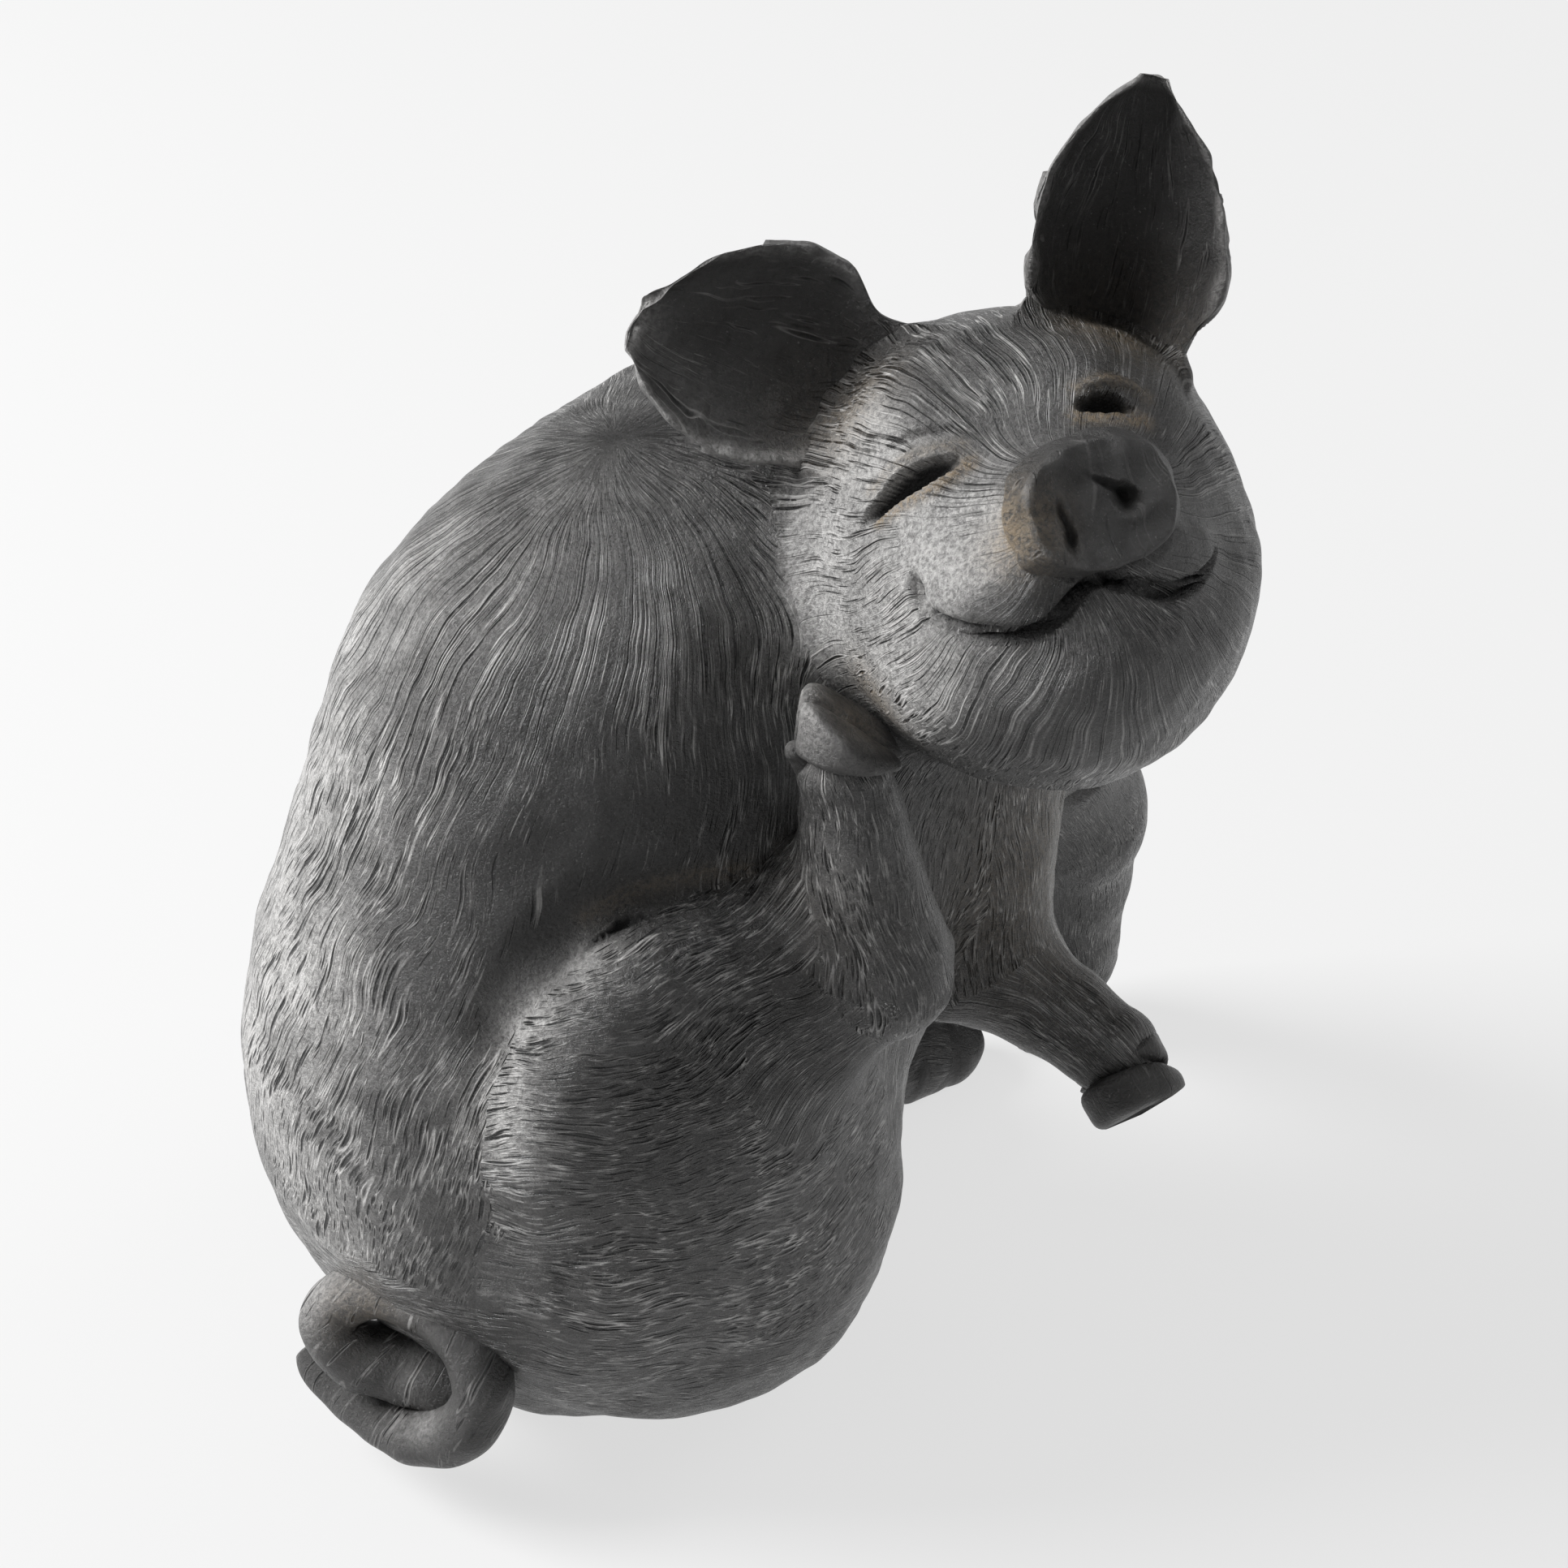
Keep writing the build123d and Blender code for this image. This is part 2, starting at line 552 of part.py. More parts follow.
# The raised right hind leg: haunch, shank, foot with the hock, and a hoof with its sole cut flat.
haunch_hull = largest(wrap(RIGHT_HAUNCH, *RIGHT_HAUNCH_AXIS, stations=FEW_STATIONS) & above_floor)
pieces["haunch_right"] = without(haunch_hull, body_hull)
shank_hull = limb_wrap(RIGHT_SHANK)
pieces["shank_right"] = without(shank_hull, body_hull, haunch_hull)
raised_hoof = without(limb_wrap(RIGHT_HIND_HOOF), half_space(RAISED_SOLE_CENTRE, RAISED_SOLE_NORMAL))
raised_seat = seat_of(RIGHT_HIND_HOOF, RAISED_HOOF_SEAT_SHARE)
foot_hull = limb_wrap(RIGHT_HIND_FOOT)
hoofed("hind_foot_right", foot_hull, raised_hoof, raised_seat, RAISED_CLAW_PARTING, shank_hull, haunch_hull, body_hull, head_form)
pieces["dewclaw_hind_right"] = without(limb_wrap(DEWCLAW), raised_hoof, foot_hull, body_hull)

# The right foreleg, bent and held up.
upper_arm_hull = limb_wrap(RIGHT_UPPER_ARM)
pieces["upper_foreleg_right"] = without(upper_arm_hull, body_hull, head_form)
forearm_hull = limb_wrap(RIGHT_FOREARM)
fore_seat = seat_of(RIGHT_FORE_HOOF)
hoofed("forearm_right", forearm_hull, limb_wrap(RIGHT_FORE_HOOF), fore_seat, FORE_CLAW_PARTING, upper_arm_hull, body_hull)

# The left foreleg, straight down to the floor.
left_arm_hull = limb_wrap(LEFT_UPPER_ARM)
pieces["upper_foreleg_left"] = without(left_arm_hull, body_hull)
left_forearm_hull = limb_wrap(LEFT_FOREARM)
left_hoof_hull = largest(limb_wrap(LEFT_FORE_HOOF) & above_floor)
left_fore_seat = seat_of(LEFT_FORE_HOOF)
hoofed("forearm_left", left_forearm_hull, left_hoof_hull, left_fore_seat, FLOOR_CLAW_PARTING, left_arm_hull, body_hull)

# The left hind leg, folded beside the belly.
left_haunch_hull = largest(wrap(LEFT_HAUNCH, *LEFT_HAUNCH_AXIS, stations=FEW_STATIONS) & above_floor)
pieces["haunch_left"] = without(left_haunch_hull, body_hull)
left_foot_hull = largest(limb_wrap(LEFT_HIND_FOOT) & above_floor)
left_hind_hoof_hull = largest(limb_wrap(LEFT_HIND_HOOF) & above_floor)
left_hind_seat = seat_of(LEFT_HIND_HOOF)
hoofed("hind_foot_left", left_foot_hull, left_hind_hoof_hull, left_hind_seat, FLOOR_CLAW_PARTING, left_haunch_hull, body_hull)

# The tail, a coiled roll luted to the rump.
pieces["tail_coil"] = without(tail_coil(), body_hull, haunch_hull)

for name, solid in pieces.items():
    export_step(solid, f"parts/{name}.step")
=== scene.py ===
"""Looks of a hand-built clay pig that sits on its rump and scratches its chin with a raised hind foot.

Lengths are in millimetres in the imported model's frame until a mesh is written in metres. Each lump of clay
is a closed surface cast from a spine inside it onto the common skin of the whole figure, so neighbours flow
into each other, and each dips under the skin past its own territory.
"""

import logging
import math
from dataclasses import dataclass, field
from enum import Enum
from typing import Callable, Iterable, Sequence

import bpy
import numpy as np
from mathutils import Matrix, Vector


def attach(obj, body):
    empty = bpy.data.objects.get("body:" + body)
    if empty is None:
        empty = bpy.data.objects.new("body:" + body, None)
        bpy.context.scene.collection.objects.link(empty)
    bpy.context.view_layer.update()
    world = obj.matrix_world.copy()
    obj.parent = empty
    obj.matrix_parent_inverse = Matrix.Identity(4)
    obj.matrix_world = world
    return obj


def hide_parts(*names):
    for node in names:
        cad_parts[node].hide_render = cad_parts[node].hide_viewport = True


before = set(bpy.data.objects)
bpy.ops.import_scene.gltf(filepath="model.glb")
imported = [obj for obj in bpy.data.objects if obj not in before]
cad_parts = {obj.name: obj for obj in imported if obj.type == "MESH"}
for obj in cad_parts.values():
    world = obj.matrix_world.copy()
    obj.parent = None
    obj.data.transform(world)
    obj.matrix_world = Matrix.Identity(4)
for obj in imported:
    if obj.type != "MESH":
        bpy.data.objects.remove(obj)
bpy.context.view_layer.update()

LOG = logging.getLogger("clay_pig")
MM = 0.001
FAR = 1000.0
GRAIN = 1.0
Place = tuple[float, float, float]
Array = np.ndarray


# Directions.


def unit(vector: Sequence[float] | Array) -> Array:
    """Direction of a vector."""
    vector = np.asarray(vector, float)
    return vector / np.linalg.norm(vector)


def smooth(values: Array, low: float, high: float) -> Array:
    """Zero below low, one above high, and the cubic 3x^2 - 2x^3 between."""
    share = np.clip((np.asarray(values, float) - low) / (high - low), 0, 1)
    return share * share * (3 - 2 * share)


def closer(first: Array, second: Array, reach: float | Array) -> Array:
    """The smaller of two depths, lowered by a parabola of the given reach where they are alike."""
    fade = np.maximum(reach - np.abs(first - second), 0) / reach
    return np.minimum(first, second) - fade * fade * reach / 4


def farther(first: Array, second: Array, reach: float | Array) -> Array:
    """The larger of two depths, raised by a parabola of the given reach where they are alike."""
    return -closer(-first, -second, reach)


def bell(points: Array, place: Sequence[float], radius: float) -> Array:
    """Bell round a place, one in its middle: exp(-(distance / radius)^2)."""
    rest = points - np.asarray(place)
    return np.exp(-np.einsum("ij,ij->i", rest, rest) / radius**2)


def outward_at(depth: Callable[[Array], Array], points: Array, step: float = 0.25) -> Array:
    """Outward direction at each point, from a depth's differences over a small step along each axis.

    Args:
        depth: The depth as a function of places.
        points: The places.
        step: How far the differences reach.

    Returns:
        One unit vector per point.
    """
    shifts = step * np.eye(3)
    around = np.concatenate([points + shift for shift in shifts] + [points - shift for shift in shifts])
    values = depth(around).reshape(6, -1)
    rise = (values[:3] - values[3:]).T
    return rise / np.maximum(np.linalg.norm(rise, axis=1, keepdims=True), 1e-9)


def turned_axes(turn: float, tilt: float, roll: float) -> Array:
    """Forward, left and up of what faces -Y before it is turned, tilted back and rolled, in degrees.

    Args:
        turn: Turn about the vertical.
        tilt: How far forward is raised.
        roll: Turn about forward.

    Returns:
        The three directions as rows.
    """
    turn, tilt, roll = np.radians([turn, tilt, roll])
    forward = np.array([np.sin(turn) * np.cos(tilt), -np.cos(turn) * np.cos(tilt), np.sin(tilt)])
    level = np.array([np.cos(turn), np.sin(turn), 0.0])
    left = np.cos(roll) * level + np.sin(roll) * np.cross(forward, level)
    return np.array([forward, left, np.cross(forward, left)])


def pitched_axes(axes: Array, pitch: float) -> Array:
    """The same directions with the forward one raised by the pitch in degrees.

    Args:
        axes: Forward, left and up directions as rows.
        pitch: How far forward is raised, in degrees.

    Returns:
        The three directions as rows.
    """
    forward, left, up = axes
    pitch = np.radians(pitch)
    cosine, sine = np.cos(pitch), np.sin(pitch)
    return np.array([cosine * forward + sine * up, left, cosine * up - sine * forward])


# How far the tables of an ear's rims are blurred and its root runs into the head, as shares of its length,
# and how far its faces are rounded into each other.
RIM_BLUR = 0.035
EAR_ROOT_SHARE = 0.25
EAR_EDGE_REACH = 2.0
BODY_AXES = turned_axes(130, 0, 0)
HEAD_AXES = turned_axes(15, 37, 4)
SNOUT_AXES = turned_axes(24, 37, 4)
HEAD_CENTRE = np.array([98.0, -4.0, 217.0])


def on_head(forward: float | Array, left: float | Array, up: float | Array) -> Array:
    """Frame place of a place given in the head's own directions from its centre."""
    return HEAD_CENTRE + np.stack(np.broadcast_arrays(forward, left, up), -1) @ HEAD_AXES


# Lumps of clay.


@dataclass(frozen=True)
class Egg:
    """A lump with three radii along its own axes."""

    centre: Sequence[float]
    radii: Place
    axes: Array = field(default_factory=lambda: BODY_AXES)

    def depth(self, points: Array) -> Array:
        """Distance outside the lump, negative inside: k(k - 1)/|grad k| for the scaled radius k.

        Args:
            points: The places.

        Returns:
            Distance outside, negative inside.
        """
        local = (points - np.asarray(self.centre)) @ self.axes.T / np.asarray(self.radii)
        near = np.sqrt(np.einsum("ij,ij->i", local, local))
        local /= np.asarray(self.radii)
        slope = np.sqrt(np.einsum("ij,ij->i", local, local))
        return near * (near - 1) / np.maximum(slope, 1e-9)


@dataclass(frozen=True)
class Roll:
    """A round roll that tapers from its start to its end."""

    start: Sequence[float]
    end: Sequence[float]
    start_radius: float
    end_radius: float

    def depth(self, points: Array) -> Array:
        """Distance outside the cone that wraps the two end spheres, negative inside.

        Args:
            points: The places.

        Returns:
            Distance outside, negative inside.
        """
        start, end = np.asarray(self.start, float), np.asarray(self.end, float)
        length = float(np.linalg.norm(end - start))
        along = (end - start) / length
        taper = (self.start_radius - self.end_radius) / length
        rest = points - start
        height = rest @ along
        aside = np.sqrt(np.maximum(np.einsum("ij,ij->i", rest, rest) - height * height, 0))
        place = np.clip(height + aside * taper / math.sqrt(1 - taper * taper), 0, length)
        return np.hypot(aside, height - place) - (self.start_radius - taper * place)


@dataclass(frozen=True)
class Group:
    """Lumps smoothed into each other over one reach."""

    lumps: tuple
    reach: float

    def depth(self, points: Array) -> Array:
        """Soft minimum of the lumps' depths.

        Args:
            points: The places.

        Returns:
            Distance outside, negative inside.
        """
        result = self.lumps[0].depth(points)
        for lump in self.lumps[1:]:
            result = closer(result, lump.depth(points), self.reach)
        return result


@dataclass(frozen=True)
class EarLeaf:
    """A cupped leaf of clay: its line, which way it opens, and its rims' reach at shares of its length."""

    base: Array
    tip: Array
    side: Array
    cup: float
    wall: float
    shares: Place
    first_rim: Place
    second_rim: Place
    tip_flatness: float = 0.9

    def axes(self) -> tuple[float, Array, Array, Array]:
        """Length, and the directions along the leaf, across it and out of its hollow.

        Returns:
            The length and the three directions.
        """
        length = float(np.linalg.norm(self.tip - self.base))
        along = (self.tip - self.base) / length
        across = unit(self.side - (self.side @ along) * along)
        front = np.cross(along, across)
        front = front if front @ HEAD_AXES[0] > 0 else -front
        return length, along, across, front

    def rims(self, share: Array) -> tuple[Array, Array]:
        """Reach of both rims at shares of the length, by smoothed interpolation of the tables.

        Args:
            share: Shares of the length.

        Returns:
            Reach of the first and of the second rim.
        """
        shifts = np.linspace(-RIM_BLUR, RIM_BLUR, 5)
        first, second = (
            sum(np.interp(share + shift, self.shares, table) for shift in shifts) / len(shifts)
            for table in (self.first_rim, self.second_rim)
        )
        return first, second

    def hollow(self, share: Array) -> Array:
        """How deep the cup is at a share of the length: it fades as a root towards the tip."""
        return self.cup * np.sqrt(1 - np.clip(share, 0, 1) * self.tip_flatness)

    def depth(self, points: Array) -> Array:
        """Distance outside the leaf: the largest of those through its wall, past its rims and its ends.

        Args:
            points: The places.

        Returns:
            Distance outside, negative inside.
        """
        length, along, across, front = self.axes()
        rest = points - self.base
        share = rest @ along / length
        side, rise = rest @ across, rest @ front
        first, second = self.rims(share)
        reach = np.where(side > 0, first, second)
        turn = np.clip(side / np.maximum(reach, 1), -1.2, 1.2)
        wall = np.abs(rise + self.hollow(share) * (1 - turn * turn) + self.wall / 2) - self.wall / 2
        ends = np.maximum(share - 1, -share - EAR_ROOT_SHARE) * length
        return farther(farther(wall * 0.75, np.abs(side) - reach, EAR_EDGE_REACH), ends, EAR_EDGE_REACH)


@dataclass(frozen=True)
class Cut:
    """A lump with everything past a plane cut away, its edge rounded."""

    lump: object
    place: Array
    normal: Array
    reach: float

    def depth(self, points: Array) -> Array:
        """The farther of the lump's depth and the height past the plane."""
        return farther(self.lump.depth(points), (points - self.place) @ self.normal, self.reach)


BODY = Group(
    (
        Group((Egg((3, 3, 58), (66, 66, 64)), Egg((4, 4, 102), (77, 64, 64))), 34),
        Group((Egg((18, 14, 158), (77, 56, 74)), Egg((66, 54, 132), (44, 44, 56))), 36),
    ),
    30,
)
NECK = Roll((48, 32, 184), (86, 8, 206), 52, 38)
SKULL = Group(
    (
        Egg(on_head(-5, 1, 19), (38, 38, 31), HEAD_AXES),
        Egg(on_head(14, 0, 22), (20, 30, 16), HEAD_AXES),
        Egg(on_head(2, 3, 3), (36, 43, 28), HEAD_AXES),
        Egg(on_head(8, 1, -14), (40, 43, 36), HEAD_AXES),
        Egg(on_head(26, 0, -26), (24, 28, 20), HEAD_AXES),
    ),
    14,
)
MUZZLE_SIDES = tuple(
    Roll(on_head(18, root, -4), on_head(57, end, 1.4), 27, 13.3) for root, end in ((-3, -1.7), (3, 4.3))
)
MUZZLE = Cut(Group(MUZZLE_SIDES, 4), on_head(52.6, 0, 1), SNOUT_AXES[0], 0.8)
RIGHT_LIP = Egg(on_head(37, -16, -9.3), (16.5, 14, 10.2), HEAD_AXES)
LEFT_LIP = Egg(on_head(34.5, 15, -8), (15.5, 13, 8.6), HEAD_AXES)
RIGHT_EAR = EarLeaf(
    base=on_head(1.1, -28.1, 37.8),
    tip=on_head(3.9, -69.8, 60.3),
    side=np.array([0.112, 0.478, 0.871]) @ HEAD_AXES,
    cup=10.0,
    wall=5.0,
    shares=(-0.28, 0.0, 0.15, 0.35, 0.55, 0.75, 0.9, 1.0),
    first_rim=(15.0, 18.3, 26.0, 27.6, 25.2, 19.5, 10.5, 4.6),
    second_rim=(12.0, 14.6, 17.0, 20.4, 20.5, 17.0, 11.3, 4.9),
)
LEFT_EAR = EarLeaf(
    base=on_head(14.1, 25.3, 37.9),
    tip=on_head(33.1, 39.9, 84.8),
    side=np.array([-0.201, -0.909, 0.366]) @ HEAD_AXES,
    cup=13.0,
    wall=5.0,
    shares=(-0.2, 0.0, 0.15, 0.3, 0.45, 0.6, 0.75, 0.88, 1.0),
    first_rim=(13.0, 17.0, 20.0, 21.0, 20.8, 19.6, 15.6, 10.5, 2.4),
    second_rim=(12.0, 16.6, 21.7, 22.4, 20.5, 18.0, 14.0, 7.3, 2.4),
)
RIDGE_LINE = (
    (-11.0, -65.0, 110.0),
    (-8.0, -63.5, 121.0),
    (-3.0, -60.5, 133.0),
    (3.5, -57.5, 142.5),
    (11.0, -54.6, 149.5),
    (20.0, -51.4, 153.5),
    (30.0, -47.2, 155.0),
    (41.0, -41.4, 155.0),
    (52.0, -38.0, 158.0),
)


def raised_fold(line: Sequence[Place], radius: float, rise: float, lean: float) -> "Group":
    """Rolls whose common crest follows a line on the body.

    Args:
        line: Places on the body's surface under the crest.
        radius: Radius of the rolls.
        rise: How far the crest stands off the body.
        lean: How far the crest leans to the line's left side, as a share of the radius.

    Returns:
        The chain of rolls: each centre is the crest place less the radius along the leaning outward way.
    """
    places = np.asarray(line, float)
    outward = outward_at(BODY.depth, places, 0.5)
    along = np.gradient(places, axis=0)
    aside = np.cross(outward, along)
    aside /= np.linalg.norm(aside, axis=1, keepdims=True)
    share = np.linspace(0, 1, len(places))
    fade = np.minimum(1, 3 * share + 0.35)
    crest = places + outward * (rise * fade)[:, None]
    centres = crest - radius * (math.sqrt(1 - lean * lean) * outward + lean * aside)
    rolls = tuple(Roll(first, last, radius, radius) for first, last in zip(centres[:-1], centres[1:]))
    return Group(rolls, 2.5)


RIGHT_HAUNCH = Group(
    (
        Egg((22, -29, 79), (54, 38, 67), pitched_axes(BODY_AXES, -6)),
        Egg((34, -18, 46), (42, 36, 42)),
        raised_fold(RIDGE_LINE, 14, 5.0, 0.66),
    ),
    11,
)
RIGHT_SHANK = Roll((46, -36, 114), (68, -38, 134), 24, 14)
RIGHT_HIND_FOOT = Group(
    (Roll((69, -38, 134), (61.3, -38, 183.5), 14.5, 10.6), Roll((70, -36, 139), (81, -31, 134), 9, 3.2)), 6
)
RIGHT_UPPER_ARM = Roll((90, 32, 142), (95, 26, 92), 20, 15.5)
RIGHT_FOREARM = Roll((96, 24, 88), (122, 8, 76), 14.5, 10.5)
LEFT_UPPER_ARM = Roll((92, 62, 136), (116, 100, 78), 28, 18)
LEFT_FOREARM = Roll((117, 100, 78), (120, 116, 22), 17.5, 13.5)
LEFT_HAUNCH = Group((Egg((0, 45, 52), (50, 46, 52)), Roll((20, 50, 40), (60, 78, 26), 35, 20)), 20)
LEFT_HIND_FOOT = Roll((60, 78, 18), (78, 90, 11), 17, 13)


# The common skin.


SKIN_LUMPS: dict[str, object] = {
    "body": BODY,
    "haunch_left": LEFT_HAUNCH,
    "neck": NECK,
    "upper_left": LEFT_UPPER_ARM,
    "forearm_left": LEFT_FOREARM,
    "foot_left": LEFT_HIND_FOOT,
    "upper_right": RIGHT_UPPER_ARM,
    "forearm_right": RIGHT_FOREARM,
    "head": SKULL,
    "muzzle": MUZZLE,
    "lip_right": RIGHT_LIP,
    "lip_left": LEFT_LIP,
    "ear_right": RIGHT_EAR,
    "ear_left": LEFT_EAR,
    "haunch_right": RIGHT_HAUNCH,
    "shank_right": RIGHT_SHANK,
    "foot_right": RIGHT_HIND_FOOT,
}


class Skin:
    """The figure's surface: all lumps smoothed into each other, each pair over its own reach."""

    def depths(self, points: Array) -> dict[str, Array]:
        """Depth of each lump at the points."""
        return {name: lump.depth(points) for name, lump in SKIN_LUMPS.items()}

    def join(self, found: dict[str, Array], points: Array) -> Array:
        """Soft minimum of the lumps in the order that they are built, cut off flat at the floor.

        Args:
            found: Depth of each lump that can reach the points; the others count as far away.
            points: The places.

        Returns:
            Distance outside the skin, negative inside.
        """
        lump = {name: found.get(name, FAR) for name in SKIN_LUMPS}
        trunk = closer(lump["body"], lump["haunch_left"], 14)
        trunk = closer(trunk, lump["neck"], 24)
        left = closer(lump["upper_left"], lump["forearm_left"], 10)
        right = closer(lump["upper_right"], lump["forearm_right"], 8)
        trunk = closer(closer(trunk, left, 14), right, 12)
        trunk = closer(trunk, lump["foot_left"], 5)
        head = closer(lump["head"], lump["muzzle"], 9)
        head = closer(closer(head, lump["lip_right"], 8), lump["lip_left"], 8)
        trunk = closer(trunk, head, 9)
        trunk = closer(closer(trunk, lump["ear_right"], 7), lump["ear_left"], 7)
        leg = closer(closer(lump["haunch_right"], lump["shank_right"], 16), lump["foot_right"], 8)
        ahead = smooth(points[:, 0], 20, 60) * (1 - smooth(points[:, 2], 110, 150))
        reach = 1.5 + (1.5 + 8 * ahead) * (1 - smooth(points[:, 2], 150, 168))
        return farther(closer(trunk, leg, reach), -points[:, 2], 1.5)

    def depth(self, points: Array) -> Array:
        """Distance outside the skin, negative inside."""
        return self.join(self.depths(points), points)

    def settle(self, points: Array, rounds: int = 4) -> Array:
        """The points carried along the outward direction onto the skin.

        Args:
            points: The places.
            rounds: How often they are carried.

        Returns:
            The places on the skin.
        """
        for _ in range(rounds):
            points = points - outward_at(self.depth, points) * self.depth(points)[:, None]
        return points


SKIN = Skin()


# What is carved into the skin.


@dataclass(frozen=True)
class Ripples:
    """Slow unevenness of hand-pressed clay: a sum of sine waves in fixed directions."""

    wavelength: float
    height: float
    seed: int
    waves: int = 14

    def at(self, points: Array) -> Array:
        """Height of the ripples at the points.

        Args:
            points: The places.

        Returns:
            One height per point.
        """
        draw = np.random.default_rng(self.seed)
        ways = draw.normal(size=(self.waves, 3))
        ways /= np.linalg.norm(ways, axis=1, keepdims=True)
        ways *= 2 * math.pi / (self.wavelength * draw.uniform(0.7, 1.5, self.waves)[:, None])
        phases = draw.uniform(0, 2 * math.pi, self.waves)
        return self.height * np.sin(points @ ways.T + phases).sum(axis=1) / math.sqrt(self.waves / 2)


@dataclass(frozen=True)
class Groove:
    """A carved line (or a raised one where the depth is negative) along a path laid on the skin."""

    path: tuple
    depth: float
    width: float
    taper: float = 0.25
    sharp: float = 1.5
    last_taper: float | None = None

    def at(self, points: Array) -> Array:
        """Cut depth: a bell across the path's nearest stretch, narrowed towards the path's ends.

        Args:
            points: The places.

        Returns:
            One depth per point, zero away from the path.
        """
        result = np.zeros(len(points))
        path = SKIN.settle(finer_path(np.asarray(self.path, float), 14 * len(self.path)))
        ease_path(path, 24)
        reach = 3.2 * self.width
        near = np.all((points > path.min(0) - reach) & (points < path.max(0) + reach), axis=1)
        spots = points[near]
        if len(spots) == 0:
            return result
        best = np.full(len(spots), np.inf)
        share = np.zeros(len(spots))
        for index in range(len(path) - 1):
            run = path[index + 1] - path[index]
            rest = spots - path[index]
            along = np.clip(rest @ run / (run @ run), 0, 1)
            gap = np.linalg.norm(rest - along[:, None] * run, axis=1)
            closer_here = gap < best
            best = np.where(closer_here, gap, best)
            share = np.where(closer_here, (index + along) / (len(path) - 1), share)
        way_to_end = np.minimum(share / self.taper, (1 - share) / (self.last_taper or self.taper))
        ends = np.clip(way_to_end, 0, 1) ** 0.6
        across = best / (self.width * (0.3 + 0.7 * ends))
        result[near] = self.depth * ends * np.exp(-(across**2) ** self.sharp)
        return result


@dataclass(frozen=True)
class Spot:
    """A soft round patch: how deep a dent is, with a lump below zero, or how strong a tint."""

    place: Sequence[float]
    radius: float
    strength: float

    def at(self, points: Array) -> Array:
        """Bell round the place."""
        return self.strength * bell(points, self.place, self.radius)


def ease_path(path: Array, rounds: int) -> None:
    """Draws each place of the path, but its ends, towards its neighbours."""
    for _ in range(rounds):
        path[1:-1] = (path[:-2] + 2 * path[1:-1] + path[2:]) / 4


def finer_path(path: Array, count: int) -> Array:
    """Spots along a smooth line through the path's places: cubic pieces with shared slopes at the places.

    Args:
        path: The places.
        count: Number of spots.

    Returns:
        The spots, the first and last at the path's ends.
    """
    slopes = np.gradient(path, axis=0)
    share = np.linspace(0, len(path) - 1, count)
    index = np.minimum(share.astype(int), len(path) - 2)
    t = (share - index)[:, None]
    first, last = path[index], path[index + 1]
    ease = t * t * (3 - 2 * t)
    bend = slopes[index] * (t * (1 - t) ** 2) - slopes[index + 1] * (t * t * (1 - t))
    return first + (last - first) * ease + bend


def head_path(*places: Place) -> tuple:
    """Frame places of a path given in the head's own directions."""
    return tuple(tuple(on_head(*place)) for place in places)


MOUTH = head_path(
    (34.9, -32.3, -9.1),
    (38.7, -30.6, -12.4),
    (44.1, -25.7, -16.7),
    (47.6, -19.3, -19.2),
    (50.0, -13.1, -18.8),
    (52.7, -7.5, -15.3),
    (55.5, -3.8, -12.7),
    (55.8, -0.7, -11.4),
    (55.0, 2.4, -13.4),
    (52.5, 7.3, -15.5),
    (49.6, 13.3, -17.4),
    (47.6, 18.6, -17.2),
    (44.6, 23.9, -15.4),
    (40.0, 28.6, -10.5),
)
CORNER = head_path((33.6, -33.2, -1.6), (34.6, -33.4, -5.0), (35.6, -33.0, -8.4), (37.4, -31.6, -11.6))
RIGHT_EYE = head_path(
    (20.0, -37.2, 9.6),
    (23.7, -34.7, 11.9),
    (27.8, -30.6, 14.6),
    (31.0, -26.5, 16.2),
    (33.5, -22.5, 17.2),
    (35.7, -18.3, 17.8),
)
RIGHT_UNDER = head_path(
    (25.2, -34.3, 9.4), (29.6, -29.7, 11.4), (33.1, -25.1, 12.9), (35.5, -20.2, 15.0), (36.5, -16.5, 16.6)
)
RIGHT_LID = head_path(
    (22.1, -34.4, 16.0), (26.7, -30.0, 18.9), (30.3, -25.4, 20.5), (33.1, -21.2, 20.8), (35.3, -17.1, 20.5)
)
RIGHT_EDGE = head_path(
    (23.4, -34.6, 14.2), (27.4, -30.5, 16.9), (30.8, -26.2, 18.4), (33.3, -22.3, 19.1), (35.5, -18.2, 19.4)
)
RIGHT_BROW = head_path((23.8, -30.9, 22.0), (27.9, -26.3, 23.9), (31.5, -21.1, 24.4), (34.0, -16.9, 23.5))
LEFT_EYE = head_path((37.8, 6.6, 23.0), (37.2, 11.1, 22.8), (36.5, 14.8, 21.8), (36.0, 18.3, 19.8))
LEFT_UNDER = head_path((38.6, 6.4, 21.0), (38.6, 11.0, 20.2), (38.0, 15.6, 18.8), (36.5, 19.6, 17.0))
LEFT_LID = head_path((36.5, 7.3, 26.3), (35.0, 12.8, 26.6), (33.9, 17.9, 25.0), (33.3, 22.1, 21.6))
HAUNCH_CREASE = (
    (-16.0, -63.0, 118.0),
    (-12.7, -61.4, 130.0),
    (-7.5, -59.1, 141.0),
    (-0.6, -56.7, 150.5),
    (8.6, -54.0, 157.5),
    (18.8, -51.0, 161.5),
    (29.6, -46.5, 162.5),
    (41.3, -40.5, 161.0),
)
HAUNCH_CUT = ((7.9, -55.3, 150.7), (12.1, -53.9, 153.6), (17.1, -52.1, 155.9), (23.2, -50.6, 156.6))
ARM_FOLDS = (
    ((109.0, 28.0, 128.0), (116.0, 46.0, 134.0), (124.0, 66.0, 138.0)),
    ((112.0, 40.0, 104.0), (122.0, 66.0, 106.0), (131.0, 84.0, 108.0)),
)
